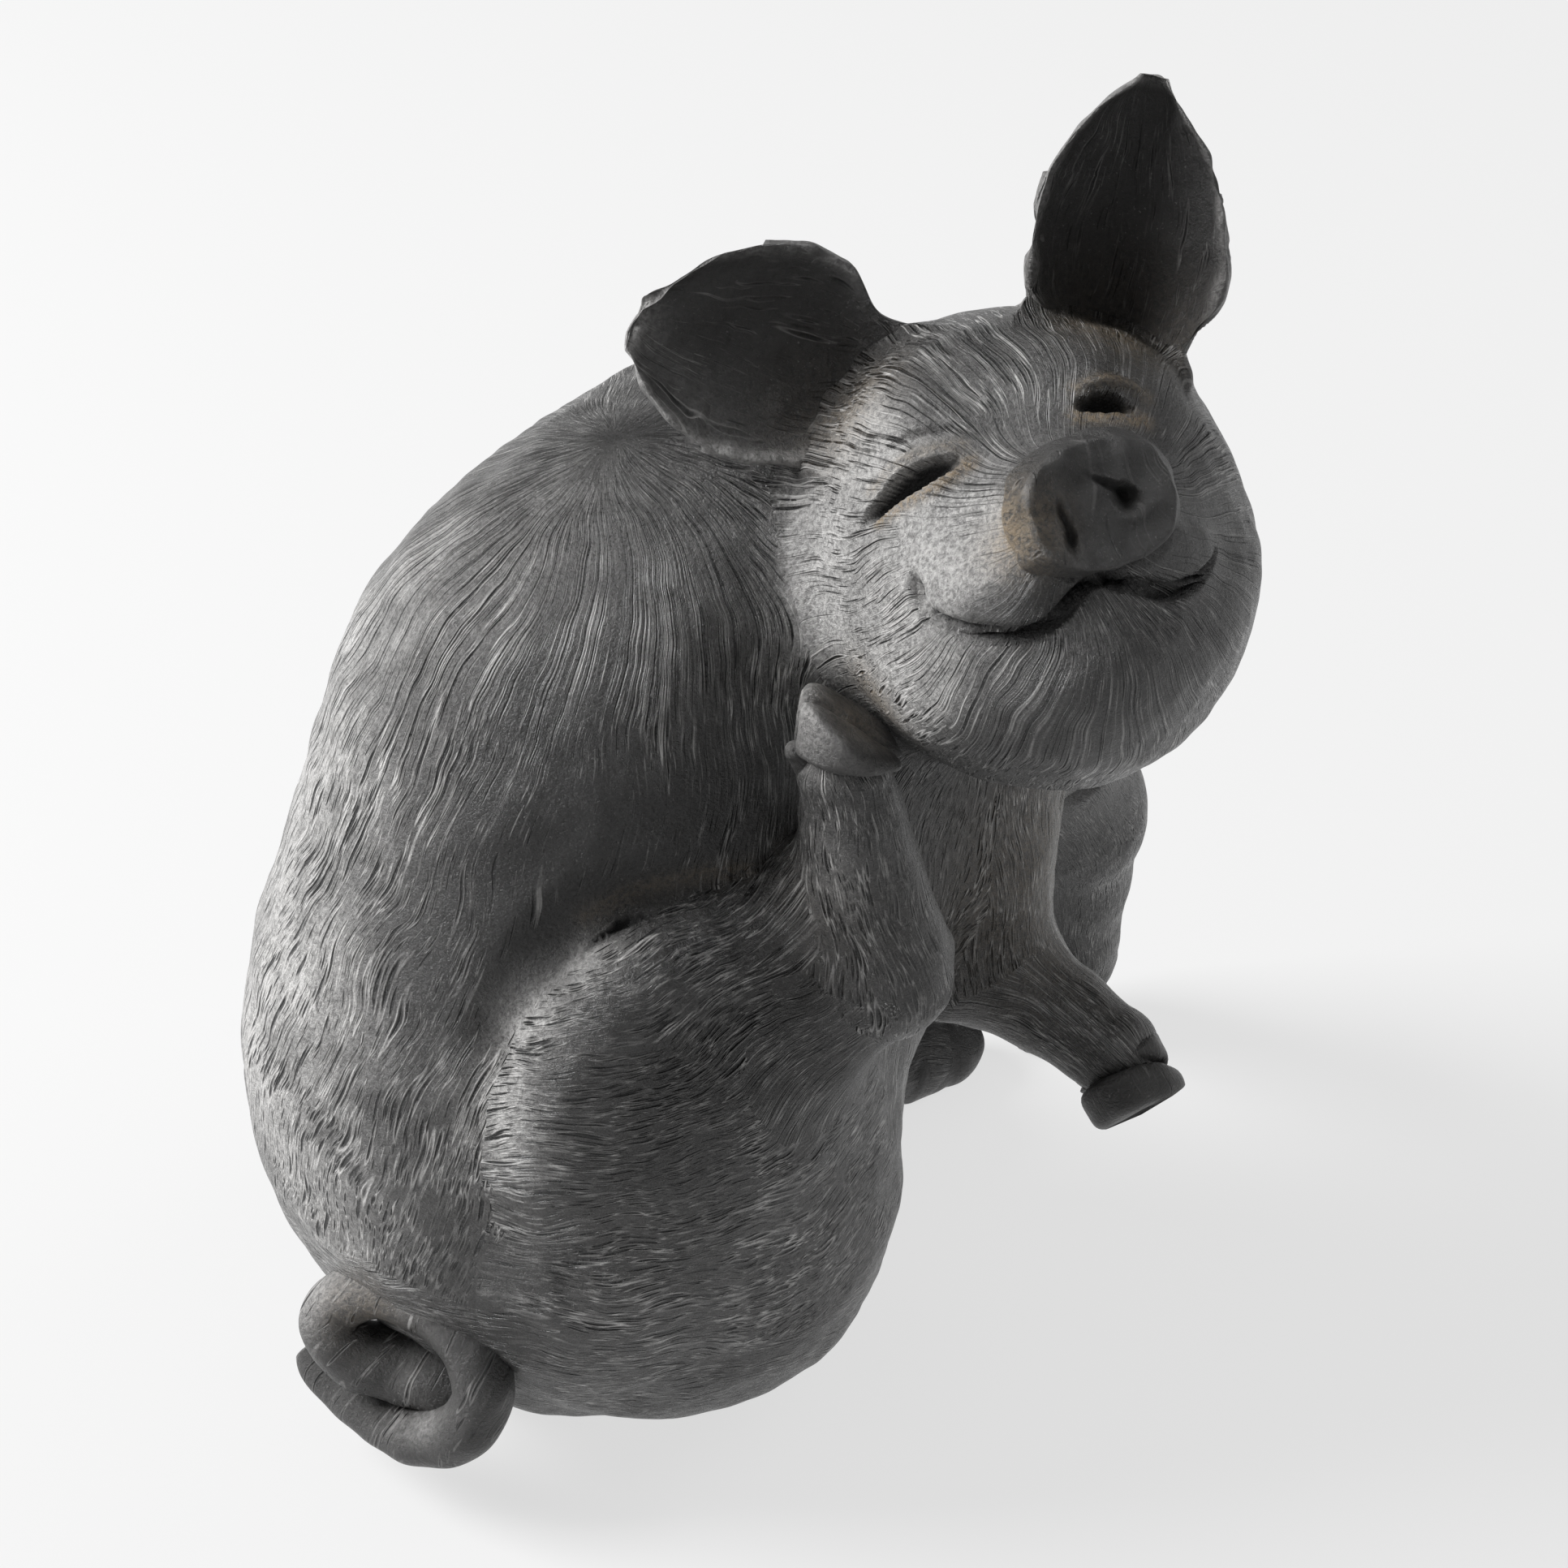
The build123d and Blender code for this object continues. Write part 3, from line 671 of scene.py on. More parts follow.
CARVINGS: tuple = (
    Groove(MOUTH, 4.2, 1.5, taper=0.02, sharp=2.5, last_taper=0.2),
    Groove(MOUTH[:5], 2.6, 2.8, taper=0.5),
    Groove(CORNER, 5.0, 2.3, taper=0.5, sharp=2),
    Spot(on_head(42.0, -27.0, -8.0), 9.0, -1.8),
    Groove(RIGHT_EYE, 5.6, 2.4, taper=0.42, sharp=5),
    Groove(RIGHT_EDGE, -1.3, 0.8, taper=0.3),
    Groove(RIGHT_LID, -0.9, 1.4, taper=0.3),
    Groove(RIGHT_UNDER, -0.6, 1.0, taper=0.3),
    Groove(RIGHT_BROW, 1.3, 0.95, taper=0.3),
    Groove(LEFT_EYE, 5.0, 2.0, taper=0.4, sharp=5),
    Groove(LEFT_LID, -1.4, 1.3, taper=0.3),
    Spot(on_head(31, -24, 28), 8, -1.2),
    Spot(on_head(34, 14, 30), 7, -1.2),
    Spot(on_head(34, -29, 4), 9, -1.6),
    Spot(on_head(38, 18, 9), 8, -1.2),
    Groove(HAUNCH_CREASE, 1.8, 7.0, taper=0.35),
    Groove(HAUNCH_CUT, 2.6, 1.0, taper=0.5),
    *(Groove(fold, 2.4, 3.0, taper=0.5) for fold in ARM_FOLDS),
)
PRESSED = (Ripples(46, 0.55, 3), Ripples(17, 0.22, 4), Ripples(7, 0.07, 5))
NEAR_FLOOR = 3.0
MOUTH_LINE = Groove(MOUTH, 1.0, 1.5, taper=0.02, sharp=2, last_taper=0.12)
CORNER_LINE = Groove(CORNER, 1.0, 1.5, taper=0.4, sharp=2)


def relief(points: Array) -> tuple[Array, Array]:
    """How far the skin is pushed out, and how deep it is carved."""
    carved = sum(carving.at(points) for carving in CARVINGS)
    return sum(ripple.at(points) for ripple in PRESSED) - carved, carved


# Which way the hair strokes run.


DRIFTS = tuple(Ripples(32, 1.0, seed) for seed in (61, 62, 63))
JITTERS = tuple(Ripples(9, 0.13, seed) for seed in (64, 65, 66))


@dataclass(frozen=True)
class Flow:
    """Stroke coordinates round an axis: strokes are long where a direction is squeezed."""

    centre: Sequence[float]
    axis: Sequence[float]
    round_scale: float
    along_scale: float
    out_scale: float
    reference: float
    twist: float = 0.0
    fineness: float = 1.0

    def at(self, points: Array) -> Array:
        """Angle, height and distance round the axis as a place on a cylinder, each with its own scale.

        Args:
            points: The places.

        Returns:
            Three stroke coordinates per point.
        """
        bends = [drift.at(points) + jitter.at(points) for drift, jitter in zip(DRIFTS, JITTERS)]
        points = points + np.column_stack(bends)
        axis = unit(self.axis)
        first = unit(np.cross(axis, np.eye(3)[np.argmin(np.abs(axis))]))
        second = np.cross(axis, first)
        rest = points - np.asarray(self.centre)
        height = rest @ axis
        east, north = rest @ first, rest @ second
        away = np.hypot(east, north)
        angle = np.arctan2(north, east) + self.twist * height
        ring = self.reference * self.round_scale
        rise = self.along_scale * height + self.out_scale * away
        return self.fineness * np.column_stack([ring * np.cos(angle), ring * np.sin(angle), rise])


SQUEEZE = 0.09


def along_flow(
    centre: Sequence[float],
    axis: Sequence[float],
    reference: float,
    twist: float = 0.0,
    fineness: float = 1.0,
) -> Flow:
    """Strokes that run along the axis."""
    return Flow(centre, axis, 1.0, SQUEEZE, SQUEEZE, reference, twist, fineness)


def around_flow(
    centre: Sequence[float], axis: Sequence[float], reference: float, out_scale: float = 1.0
) -> Flow:
    """Strokes that run round the axis."""
    return Flow(centre, axis, SQUEEZE, 1.0, out_scale, reference)


BACK_FLOW = along_flow((14, 12, 100), (0, 0, 1), 66, -0.0035)
RUMP_FLOW = around_flow((14, -6, 80), (0.1, 0.1, 1), 66)
FACE_FLOW = along_flow(on_head(0, -4, 0), HEAD_AXES[0], 36, fineness=1.35)
THIGH_FLOW = around_flow((26, -20, 80), (-0.30, 0.1, 1), 60, -0.8)


@dataclass(frozen=True)
class FlowMix:
    """Where one flow gives way to the other: a soft step across a plane."""

    place: Sequence[float]
    normal: Sequence[float]
    width: float

    def at(self, points: Array) -> Array:
        """Share of the second flow."""
        return smooth((points - np.asarray(self.place)) @ unit(self.normal), -self.width, self.width)


# Where clay is rubbed pale, where a highlight is painted on, and where it holds dirt.


@dataclass(frozen=True)
class Seam:
    """A soft strip along a path on the surface."""

    path: tuple
    radius: float
    strength: float

    def at(self, points: Array) -> Array:
        """Bell across the path's nearest stretch.

        Args:
            points: The places.

        Returns:
            One strength per point.
        """
        result = np.zeros(len(points))
        path = finer_path(np.asarray(self.path, float), 5 * len(self.path))
        reach = 3 * self.radius
        near = np.all((points > path.min(0) - reach) & (points < path.max(0) + reach), axis=1)
        for place in path:
            result[near] = np.maximum(result[near], bell(points[near], place, self.radius))
        return self.strength * result


def patches(points: Array, spots: Iterable[Spot]) -> Array:
    """Sum of the patches at the points, at most one."""
    return np.clip(sum((spot.at(points) for spot in spots), np.zeros(len(points))), 0, 1)


# Patches rubbed pale. Most sit where the key lamp falls, on the cheek, the left side of the back, the haunch
# ridge and the tail ring, and paint its highlight there; the one at the right ear's tip is its pale chipped
# facet.
RUBBED_AND_HIGHLIT_PATCHES = (
    Spot(on_head(24, -38, -6), 22, 1.3),
    Spot(on_head(36, -26, -3), 14, 1.3),
    Spot(on_head(16, -40, -24), 16, 0.5),
    Spot(on_head(44, -16, -6), 9, 0.5),
    Spot(on_head(20, -30, 27), 13, 0.55),
    Spot(on_head(34, 0, 24), 12, 0.4),
    Spot(on_head(48, 14, 2), 10, 0.5),
    Spot((58, -28, 211), 20, 0.6),
    Spot((46, -10, 222), 24, 0.35),
    Spot((-50, -50, 56), 10, 0.6),
    Spot((-32, -60, 26), 9, 0.5),
    Spot(on_head(6, -68, 60), 5.5, 1.0),
    Spot(on_head(6, -58, 44), 6, 0.4),
    Spot((-9, -64, 118), 12, 0.9),
    Spot((-2, -60, 134), 10, 0.8),
    Spot((10, -55, 148), 9, 0.6),
    Spot((-64, -26, 110), 40, 0.75),
    Spot((-66, -16, 155), 36, 0.75),
    Spot((-56, -46, 66), 30, 0.6),
    Spot((-44, -10, 205), 36, 0.5),
    Spot((0, -10, 236), 30, 0.35),
    Spot((60, -52, 165), 12, 0.4),
    Spot((10, -62, 96), 44, 0.22),
    Spot((34, -66, 44), 34, 0.2),
    Spot((70, -40, 60), 26, 0.16),
)
DIRTY = (
    Seam(RIGHT_UNDER, 1.6, 1.0),
    Seam(RIGHT_LID, 1.4, 0.35),
    Seam(LEFT_UNDER, 2.0, 0.9),
    Seam(LEFT_LID, 1.6, 0.5),
    Seam(HAUNCH_CREASE[4:], 2.2, 0.22),
    Spot(on_head(54, -15.5, 1), 7.5, 1.0),
    Spot((-46, -58, 52), 9, 0.45),
    Spot((66, -36, 200), 8, 0.6),
    Spot(on_head(8, -33, 36), 12, 0.4),
    Spot(on_head(20, 26, 40), 12, 0.5),
    Spot((110, 20, 120), 30, 0.25),
    Spot((60, -30, 150), 14, 0.3),
)


# Meshes.


def ring_mesh(node: str, places: Array, rows: int, columns: int) -> bpy.types.Object:
    """A closed mesh from rings of places between two poles.

    Args:
        node: The node that the piece stands for.
        places: The first pole, the rings' places row by row and the last pole, in millimetres.
        rows: Number of rings.
        columns: Places in each ring.

    Returns:
        The object in metres with its faces outward.
    """
    index = 1 + np.arange(rows * columns).reshape(rows, columns)
    following = np.roll(index, -1, 1)
    quads = np.stack([index[:-1], following[:-1], following[1:], index[1:]], -1).reshape(-1, 4)
    low = np.stack([np.zeros(columns, int), following[0], index[0]], -1)
    high = np.stack([np.full(columns, len(places) - 1), index[-1], following[-1]], -1)
    corners = places[quads]
    span = np.cross(corners[:, 2] - corners[:, 0], corners[:, 3] - corners[:, 1])
    if np.einsum("ij,ij->", corners.mean(1) - places.mean(0), span) <= 0:
        quads, low, high = quads[:, ::-1], low[:, ::-1], high[:, ::-1]
    loops = np.concatenate([quads.ravel(), low.ravel(), high.ravel()])
    sizes = np.concatenate([np.full(len(quads), 4), np.full(2 * columns, 3)])
    mesh = bpy.data.meshes.new("clay_" + node)
    mesh.vertices.add(len(places))
    mesh.vertices.foreach_set("co", (places * MM).astype(np.float32).ravel())
    mesh.loops.add(len(loops))
    mesh.loops.foreach_set("vertex_index", loops.astype(np.int32))
    mesh.polygons.add(len(sizes))
    mesh.polygons.foreach_set("loop_start", np.concatenate([[0], np.cumsum(sizes)[:-1]]).astype(np.int32))
    mesh.polygons.foreach_set("loop_total", sizes.astype(np.int32))
    mesh.polygons.foreach_set("use_smooth", np.ones(len(sizes), bool))
    mesh.update()
    mesh.validate()
    thing = bpy.data.objects.new(mesh.name, mesh)
    bpy.context.scene.collection.objects.link(thing)
    return thing


def write_values(thing: bpy.types.Object, name: str, values: Array) -> None:
    """Stores one number or one vector per vertex under the name.

    Args:
        thing: The object.
        name: Name that the material reads.
        values: One row per vertex.
    """
    kind = "FLOAT_VECTOR" if values.ndim == 2 else "FLOAT"
    layer = thing.data.attributes.get(name) or thing.data.attributes.new(name, kind, "POINT")
    layer.data.foreach_set("vector" if values.ndim == 2 else "value", values.astype(np.float32).ravel())


@dataclass(frozen=True)
class Spine:
    """The line inside a lump from which its surface is cast, with the lump's usual radius."""

    start: Sequence[float]
    end: Sequence[float]
    radius: float
    spacing: float

    def rays(self) -> tuple[Array, Array, int, int]:
        """Starts and directions of the rays: a fan over each end and level rays between.

        Returns:
            The starts, the directions, and the numbers of rows and columns; the poles come first and last.
        """
        start, end = np.asarray(self.start, float), np.asarray(self.end, float)
        length = float(np.linalg.norm(end - start))
        along = unit(end - start)
        spacing = self.spacing * GRAIN
        columns = max(12, round(2 * math.pi * self.radius / spacing))
        quarter = self.radius * math.pi / 2
        rows = max(8, round((2 * quarter + length) / spacing))
        way = (np.arange(rows) + 0.5) / rows * (2 * quarter + length)
        past_end = np.maximum((way - quarter - length) / quarter, 0)
        lean = np.where(way < quarter, way / quarter - 1, past_end) * math.pi / 2
        hubs = start + np.clip(way - quarter, 0, length)[:, None] * along
        side = unit(np.cross(along, np.eye(3)[np.argmin(np.abs(along))]))
        turn = np.arange(columns) * 2 * math.pi / columns
        level = np.outer(np.cos(turn), side) + np.outer(np.sin(turn), np.cross(along, side))
        ways = np.cos(lean)[:, None, None] * level + np.sin(lean)[:, None, None] * along
        starts = np.broadcast_to(hubs[:, None], ways.shape)
        starts = np.vstack([start[None], starts.reshape(-1, 3), end[None]])
        ways = np.vstack([-along[None], ways.reshape(-1, 3), along[None]])
        return starts, ways, rows, columns


def cast(depth: Callable[[Array], Array], starts: Array, ways: Array) -> Array:
    """Where the rays leave the surface: steps of the depth left, then false position between the last two.

    Args:
        depth: Depth of the surface as a function of places.
        starts: Where the rays start, inside the surface.
        ways: Their directions.

    Returns:
        One place on the surface per ray.
    """
    low = np.zeros(len(starts))
    low_depth = depth(starts)
    high, high_depth = low.copy(), low_depth.copy()
    inside = low_depth < 0
    for _ in range(60):
        if not inside.any():
            break
        low[inside], low_depth[inside] = high[inside], high_depth[inside]
        step = np.clip(-low_depth[inside] * 0.9, 0.3, 25)
        high[inside] = low[inside] + step
        high_depth[inside] = depth(starts[inside] + ways[inside] * high[inside, None])
        inside = high_depth < 0
    for _ in range(4):
        span = np.where(np.abs(high_depth - low_depth) > 1e-9, high_depth - low_depth, 1)
        middle = low + (high - low) * np.clip(-low_depth / span, 0.02, 0.98)
        found = depth(starts + ways * middle[:, None])
        under = found < 0
        low, low_depth = np.where(under, middle, low), np.where(under, found, low_depth)
        high, high_depth = np.where(under, high, middle), np.where(under, high_depth, found)
    return starts + ways * ((low + high) / 2)[:, None]


@dataclass(frozen=True)
class Territory:
    """What a piece owns of the skin: its lumps, less what lies past a level in one direction."""

    lumps: tuple[str, ...]
    neighbours: tuple[str, ...]
    level: tuple[Array, Array] | None = None

    def owned(self, found: dict[str, Array], points: Array) -> Array:
        """Depth of the piece's own lumps, raised past the level."""
        depth = np.minimum.reduce([found[name] for name in self.lumps])
        return depth if self.level is None else np.maximum(depth, self.past(points))

    def past(self, points: Array) -> Array:
        """Height above the level, negative below."""
        place, normal = self.level
        return (points - place) @ normal

    def depth(self, points: Array) -> Array:
        """Skin, which sinks as the square of the way past the piece's own territory.

        Args:
            points: The places.

        Returns:
            Distance outside, negative inside.
        """
        found = {name: SKIN_LUMPS[name].depth(points) for name in self.lumps + self.neighbours}
        own = self.owned(found, points)
        others = [found[name] for name in self.neighbours]
        if self.level is not None:
            lumps = np.minimum.reduce([found[name] for name in self.lumps])
            others.append(np.maximum(lumps, -self.past(points)))
        away = own - np.minimum.reduce(others)
        away = np.maximum(away + INTERLOCK.at(points), 0)
        return SKIN.join(found, points) + SINKING * away * away


INTERLOCK = Ripples(9, 0.5, 11, 8)
SINKING = 0.06


def surface_normals(places: Array, rows: int, columns: int, first: Array, last: Array) -> Array:
    """Outward direction at each place of a mesh of rings.

    Args:
        places: The first pole, the rings' places row by row and the last pole.
        rows: Number of rings.
        columns: Places in each ring.
        first: Direction at the first pole.
        last: Direction at the last pole.

    Returns:
        The cross product of the differences round and along the rings, and the given directions at the poles.
    """
    rings = places[1:-1].reshape(rows, columns, 3)
    normals = np.cross(np.roll(rings, -1, 1) - np.roll(rings, 1, 1), np.gradient(rings, axis=0))
    normals /= np.maximum(np.linalg.norm(normals, axis=2, keepdims=True), 1e-9)
    if np.einsum("ijk,ijk->", normals, rings - places[1:-1].mean(0)) <= 0:
        normals = -normals
    return np.vstack([first[None], normals.reshape(-1, 3), last[None]])


class Region(Enum):
    """Parts of the figure whose strokes follow a pair of directions."""

    BACK = "back"
    HAUNCH = "haunch"
    FACE = "face"


FLOW_PAIRS: dict[Region, tuple[Flow, Flow, FlowMix]] = {
    Region.BACK: (BACK_FLOW, RUMP_FLOW, FlowMix((10, 0, 40), (-0.2, -0.3, -1), 16)),
    Region.HAUNCH: (THIGH_FLOW, RUMP_FLOW, FlowMix((20, -60, 45), (0, 0, -1), 14)),
    Region.FACE: (FACE_FLOW, BACK_FLOW, FlowMix(tuple(on_head(-14, 0, 0)), tuple(-HEAD_AXES[0]), 16)),
}


@dataclass(frozen=True)
class Dressing:
    """What each vertex carries for the clay: stroke directions, how strong strokes are, rubbing with painted
    highlights, and dirt.
    """

    first: Flow
    second: Flow
    mix: FlowMix
    strokes: float = 1.0

    def put(
        self, thing: bpy.types.Object, places: Array, normals: Array, plain_share: Array | float = 1.0
    ) -> None:
        """Writes the values for the object's vertices.

        Args:
            thing: The object.
            places: Its vertices before carving, in millimetres.
            normals: Outward direction at each.
            plain_share: How much of the strokes carving leaves at each.
        """
        # Painted highlight: the side that faces the key lamp is made paler, on top of the rubbed patches.
        facing_key = np.clip(normals @ HIGHLIGHT_SIDE, 0, 1) ** 1.5
        wear_and_highlight = patches(places, RUBBED_AND_HIGHLIT_PATCHES) * (0.45 + 0.55 * facing_key)
        write_values(thing, "flow_a", self.first.at(places))
        write_values(thing, "flow_b", self.second.at(places))
        write_values(thing, "flow_mix", self.mix.at(places))
        # Fewer strokes also mean the darker bare colour, which paints shade on the bare patches and in the
        # carvings.
        write_values(thing, "strokes", self.strokes * (1 - 0.85 * patches(places, BARE_AND_SHADED)) * plain_share)
        write_values(thing, "wear_and_highlight", np.clip(wear_and_highlight + 0.12 * facing_key, 0, 1))
        write_values(thing, "dirt", patches(places, DIRTY))


# Direction towards the key lamp; surfaces that face it get a painted highlight.
HIGHLIGHT_SIDE = unit((-0.75, -0.2, 0.62))
# Patches with fewer strokes, which also take the darker bare colour as painted shade on the flank and the
# muzzle.
BARE_AND_SHADED = (
    Spot((16, -52, 176), 30, 1.0),
    Spot((-20, -50, 160), 22, 0.6),
    Spot((-28, -42, 130), 20, 0.7),
    Spot((-14, -50, 80), 14, 0.4),
    Spot((60, -26, 208), 18, 0.7),
    Spot(on_head(40, -16, -4), 13, 0.8),
    Spot(on_head(42, 16, -4), 12, 0.7),
    Spot(on_head(38, 0, 20), 11, 0.7),
)


def plain(flow: Flow, strokes: float = 1.0) -> Dressing:
    """Dressing with one flow only."""
    return Dressing(flow, flow, FlowMix((0, 0, 0), (0, 0, 1), 9), strokes)


def paired(region: Region, strokes: float = 1.0) -> Dressing:
    """Dressing with the pair of flows of a region."""
    return Dressing(*FLOW_PAIRS[region], strokes)


def roll_flow(roll: Roll) -> Flow:
    """Strokes along a roll, finer than on the trunk."""
    along = np.asarray(roll.end, float) - np.asarray(roll.start, float)
    return along_flow(roll.start, along, roll.start_radius, fineness=1.25)


@dataclass(frozen=True)
class Lump:
    """One piece of the figure cast onto the common skin."""

    node: str
    spine: Spine
    territory: Territory
    dressing: Dressing

    def build(self, finish: "Clay") -> bpy.types.Object:
        """Casts, carves and dresses the piece.

        Args:
            finish: The clay that the piece is made of.

        Returns:
            The piece, which stands for its node.
        """
        starts, ways, rows, columns = self.spine.rays()
        places = cast(self.territory.depth, starts, ways)
        normals = surface_normals(places, rows, columns, ways[0], ways[-1])
        lift, carved = relief(places)
        pushed = places + normals * lift[:, None]
        height = places[:, 2]
        level = height + (pushed[:, 2] - height) * smooth(height, 0.2, NEAR_FLOOR)
        pushed[:, 2] = np.maximum(np.where(height < NEAR_FLOOR, level, pushed[:, 2]), 0)
        thing = ring_mesh(self.node, pushed, rows, columns)
        self.dressing.put(thing, places, normals, 1 - smooth(np.abs(carved), 0.4, 1.6))
        lines = np.maximum(MOUTH_LINE.at(places), CORNER_LINE.at(places))
        # Painted shade, nearly black, in the deep carvings of the eyes and along the mouth.
        write_values(thing, "hollow_shade", np.maximum(smooth(carved, 1.7, 3.0), smooth(lines, 0.35, 0.8)))
        return finish.dress(thing, self.node)


@dataclass(frozen=True)
class Claw:
    """Half of a cloven hoof: a roll cut flat along the parting and, where it shows, across the sole."""

    node: str
    roll: Roll
    parting: Sequence[float]
    side: int
    gap: float
    dressing: Dressing
    sole: tuple[Sequence[float], Sequence[float]] | None = None
    coronet: tuple[Sequence[float], Sequence[float]] | None = None
    floor: bool = False
    spacing: float = 0.6

    def depth(self, points: Array) -> Array:
        """Distance outside the claw: the farther of the roll's, the parting's and the sole's.

        Args:
            points: The places.

        Returns:
            Distance outside, negative inside.
        """
        across = unit(self.parting) * -self.side
        middle = (np.asarray(self.roll.start, float) + np.asarray(self.roll.end, float)) / 2
        result = farther(self.roll.depth(points), (points - middle) @ across + self.gap / 2, 3.0)
        if self.sole is not None:
            result = farther(result, (points - np.asarray(self.sole[0])) @ unit(self.sole[1]), 3.0)
        if self.coronet is not None:
            result = farther(result, (np.asarray(self.coronet[0]) - points) @ unit(self.coronet[1]), 1.6)
        if self.floor:
            result = farther(result, -points[:, 2], 1.5)
        return result

    def build(self, finish: "Clay") -> bpy.types.Object:
        """Casts the claw from a spine beside the roll's axis and dresses it.

        Args:
            finish: The clay that the claw is made of.

        Returns:
            The piece, which stands for its node.
        """
        start, end = np.asarray(self.roll.start, float), np.asarray(self.roll.end, float)
        aside = unit(self.parting) * self.side * (self.roll.end_radius * 0.45)
        low, high = (0.55, 0.75) if self.coronet is not None else (0.0, 0.75)
        first, last = start + (end - start) * low, start + (end - start) * high
        spine = Spine(first + aside, last + aside, self.roll.end_radius * 0.6, self.spacing)
        starts, ways, rows, columns = spine.rays()
        places = cast(self.depth, starts, ways)
        normals = surface_normals(places, rows, columns, ways[0], ways[-1])
        places = places + normals * (HOOF_RIPPLES.at(places) * smooth(places[:, 2], 0.3, NEAR_FLOOR))[:, None]
        places[:, 2] = np.maximum(places[:, 2], 0)
        thing = ring_mesh(self.node, places, rows, columns)
        self.dressing.put(thing, places, normals)
        return finish.dress(thing, self.node)


HOOF_RIPPLES = Ripples(9, 0.18, 21)


@dataclass(frozen=True)
class Ear:
    """A cupped leaf of clay with a rounded rim, laid out along its length and round its section."""

    node: str
    leaf: EarLeaf
    dressing: Dressing
    thicker: float
    curl: float
    nicks: tuple[Spot, ...]
    spacing: float = 0.5
    seat_depth: float = 4.5

    def build(self, finish: "Clay") -> bpy.types.Object:
        """Lays the ear out, seats on the head what lies a little under its skin, and dresses it.

        The section at share s of the length is a closed loop with parameter v: across it goes
        x = reach(s) cos v, and out of it y = -cup(s)(1 - cos^2 v) +- wall/2 times a rounding of |sin v|^0.35.

        Args:
            finish: The clay that the ear is made of.

        Returns:
            The piece, which stands for its node.
        """
        leaf = self.leaf
        length, along, across, front = leaf.axes()
        low = min(leaf.shares)
        spacing = self.spacing * GRAIN
        rows = round((1 - low) * length * 1.05 / spacing)
        columns = 2 * round(2.3 * max(max(leaf.first_rim), max(leaf.second_rim)) / spacing)
        way = (np.arange(rows) + 0.5) / rows
        share = low + (1 - low) * np.sin(way * math.pi / 2)
        turn = (np.arange(columns) + 0.5) * 2 * math.pi / columns
        first, second = leaf.rims(share)
        cosine, sine = np.cos(turn)[None], np.sin(turn)[None]
        reach = np.where(cosine > 0, first[:, None], second[:, None])
        rim = smooth(np.abs(cosine), 0.72, 1)
        wall = leaf.wall * (1 + self.thicker * rim * smooth(share, 0.05, 0.3)[:, None])
        half = wall / 2 * np.sign(sine) * np.abs(sine) ** 0.4
        end = np.sqrt(1 - np.clip((share - 0.9) / 0.1001, 0, 1) ** 2)[:, None]
        cup = -leaf.hollow(share)[:, None] * (1 - cosine * cosine)
        rise = cup + half * (0.25 + 0.75 * end) - leaf.wall / 2
        curled, straight = smooth(share, 0.1, 0.4)[:, None], smooth(share, 0.8, 1)[:, None]
        rise = rise + self.curl * rim * curled * (1 - straight)
        side = reach * cosine * (1 - 0.05 * self.curl * rim)
        line = leaf.base + (leaf.tip - leaf.base) * share[:, None, None]
        rings = line + side[..., None] * across + rise[..., None] * front
        places = np.vstack([rings[:1].mean(1), rings.reshape(-1, 3), rings[-1:].mean(1)])
        normals = surface_normals(places, rows, columns, -along, along)
        lift = RIM_RIPPLES.at(places) + FINE_RIPPLES.at(places) - 2.0 * patches(places, self.nicks)
        places = places + normals * lift[:, None]
        outside = SKIN.depth(places)
        lower_end = np.arange(len(places)) < 0.45 * len(places)
        sunk = (outside < -0.02) & (outside > -self.seat_depth) & lower_end
        places[sunk] = SKIN.settle(places[sunk], 1)
        thing = ring_mesh(self.node, places, rows, columns)
        self.dressing.put(thing, places, normals)
        # Painted highlight along both rims, and the tip worn pale.
        lit_rim_and_worn_tip = smooth(np.abs(cosine), 0.80, 0.97) * smooth(share, 0.0, 0.2)[:, None]
        lit_rim_and_worn_tip = lit_rim_and_worn_tip + smooth(share, 0.93, 0.99)[:, None]
        wear_and_highlight = np.concatenate([[0.0], (0.42 * lit_rim_and_worn_tip + 0.05).ravel(), [0.5]]) + patches(places, RUBBED_AND_HIGHLIT_PATCHES)
        write_values(thing, "wear_and_highlight", np.clip(wear_and_highlight, 0, 1))
        return finish.dress(thing, self.node)


RIM_RIPPLES = Ripples(13, 0.32, 31)
FINE_RIPPLES = Ripples(4.5, 0.09, 32)


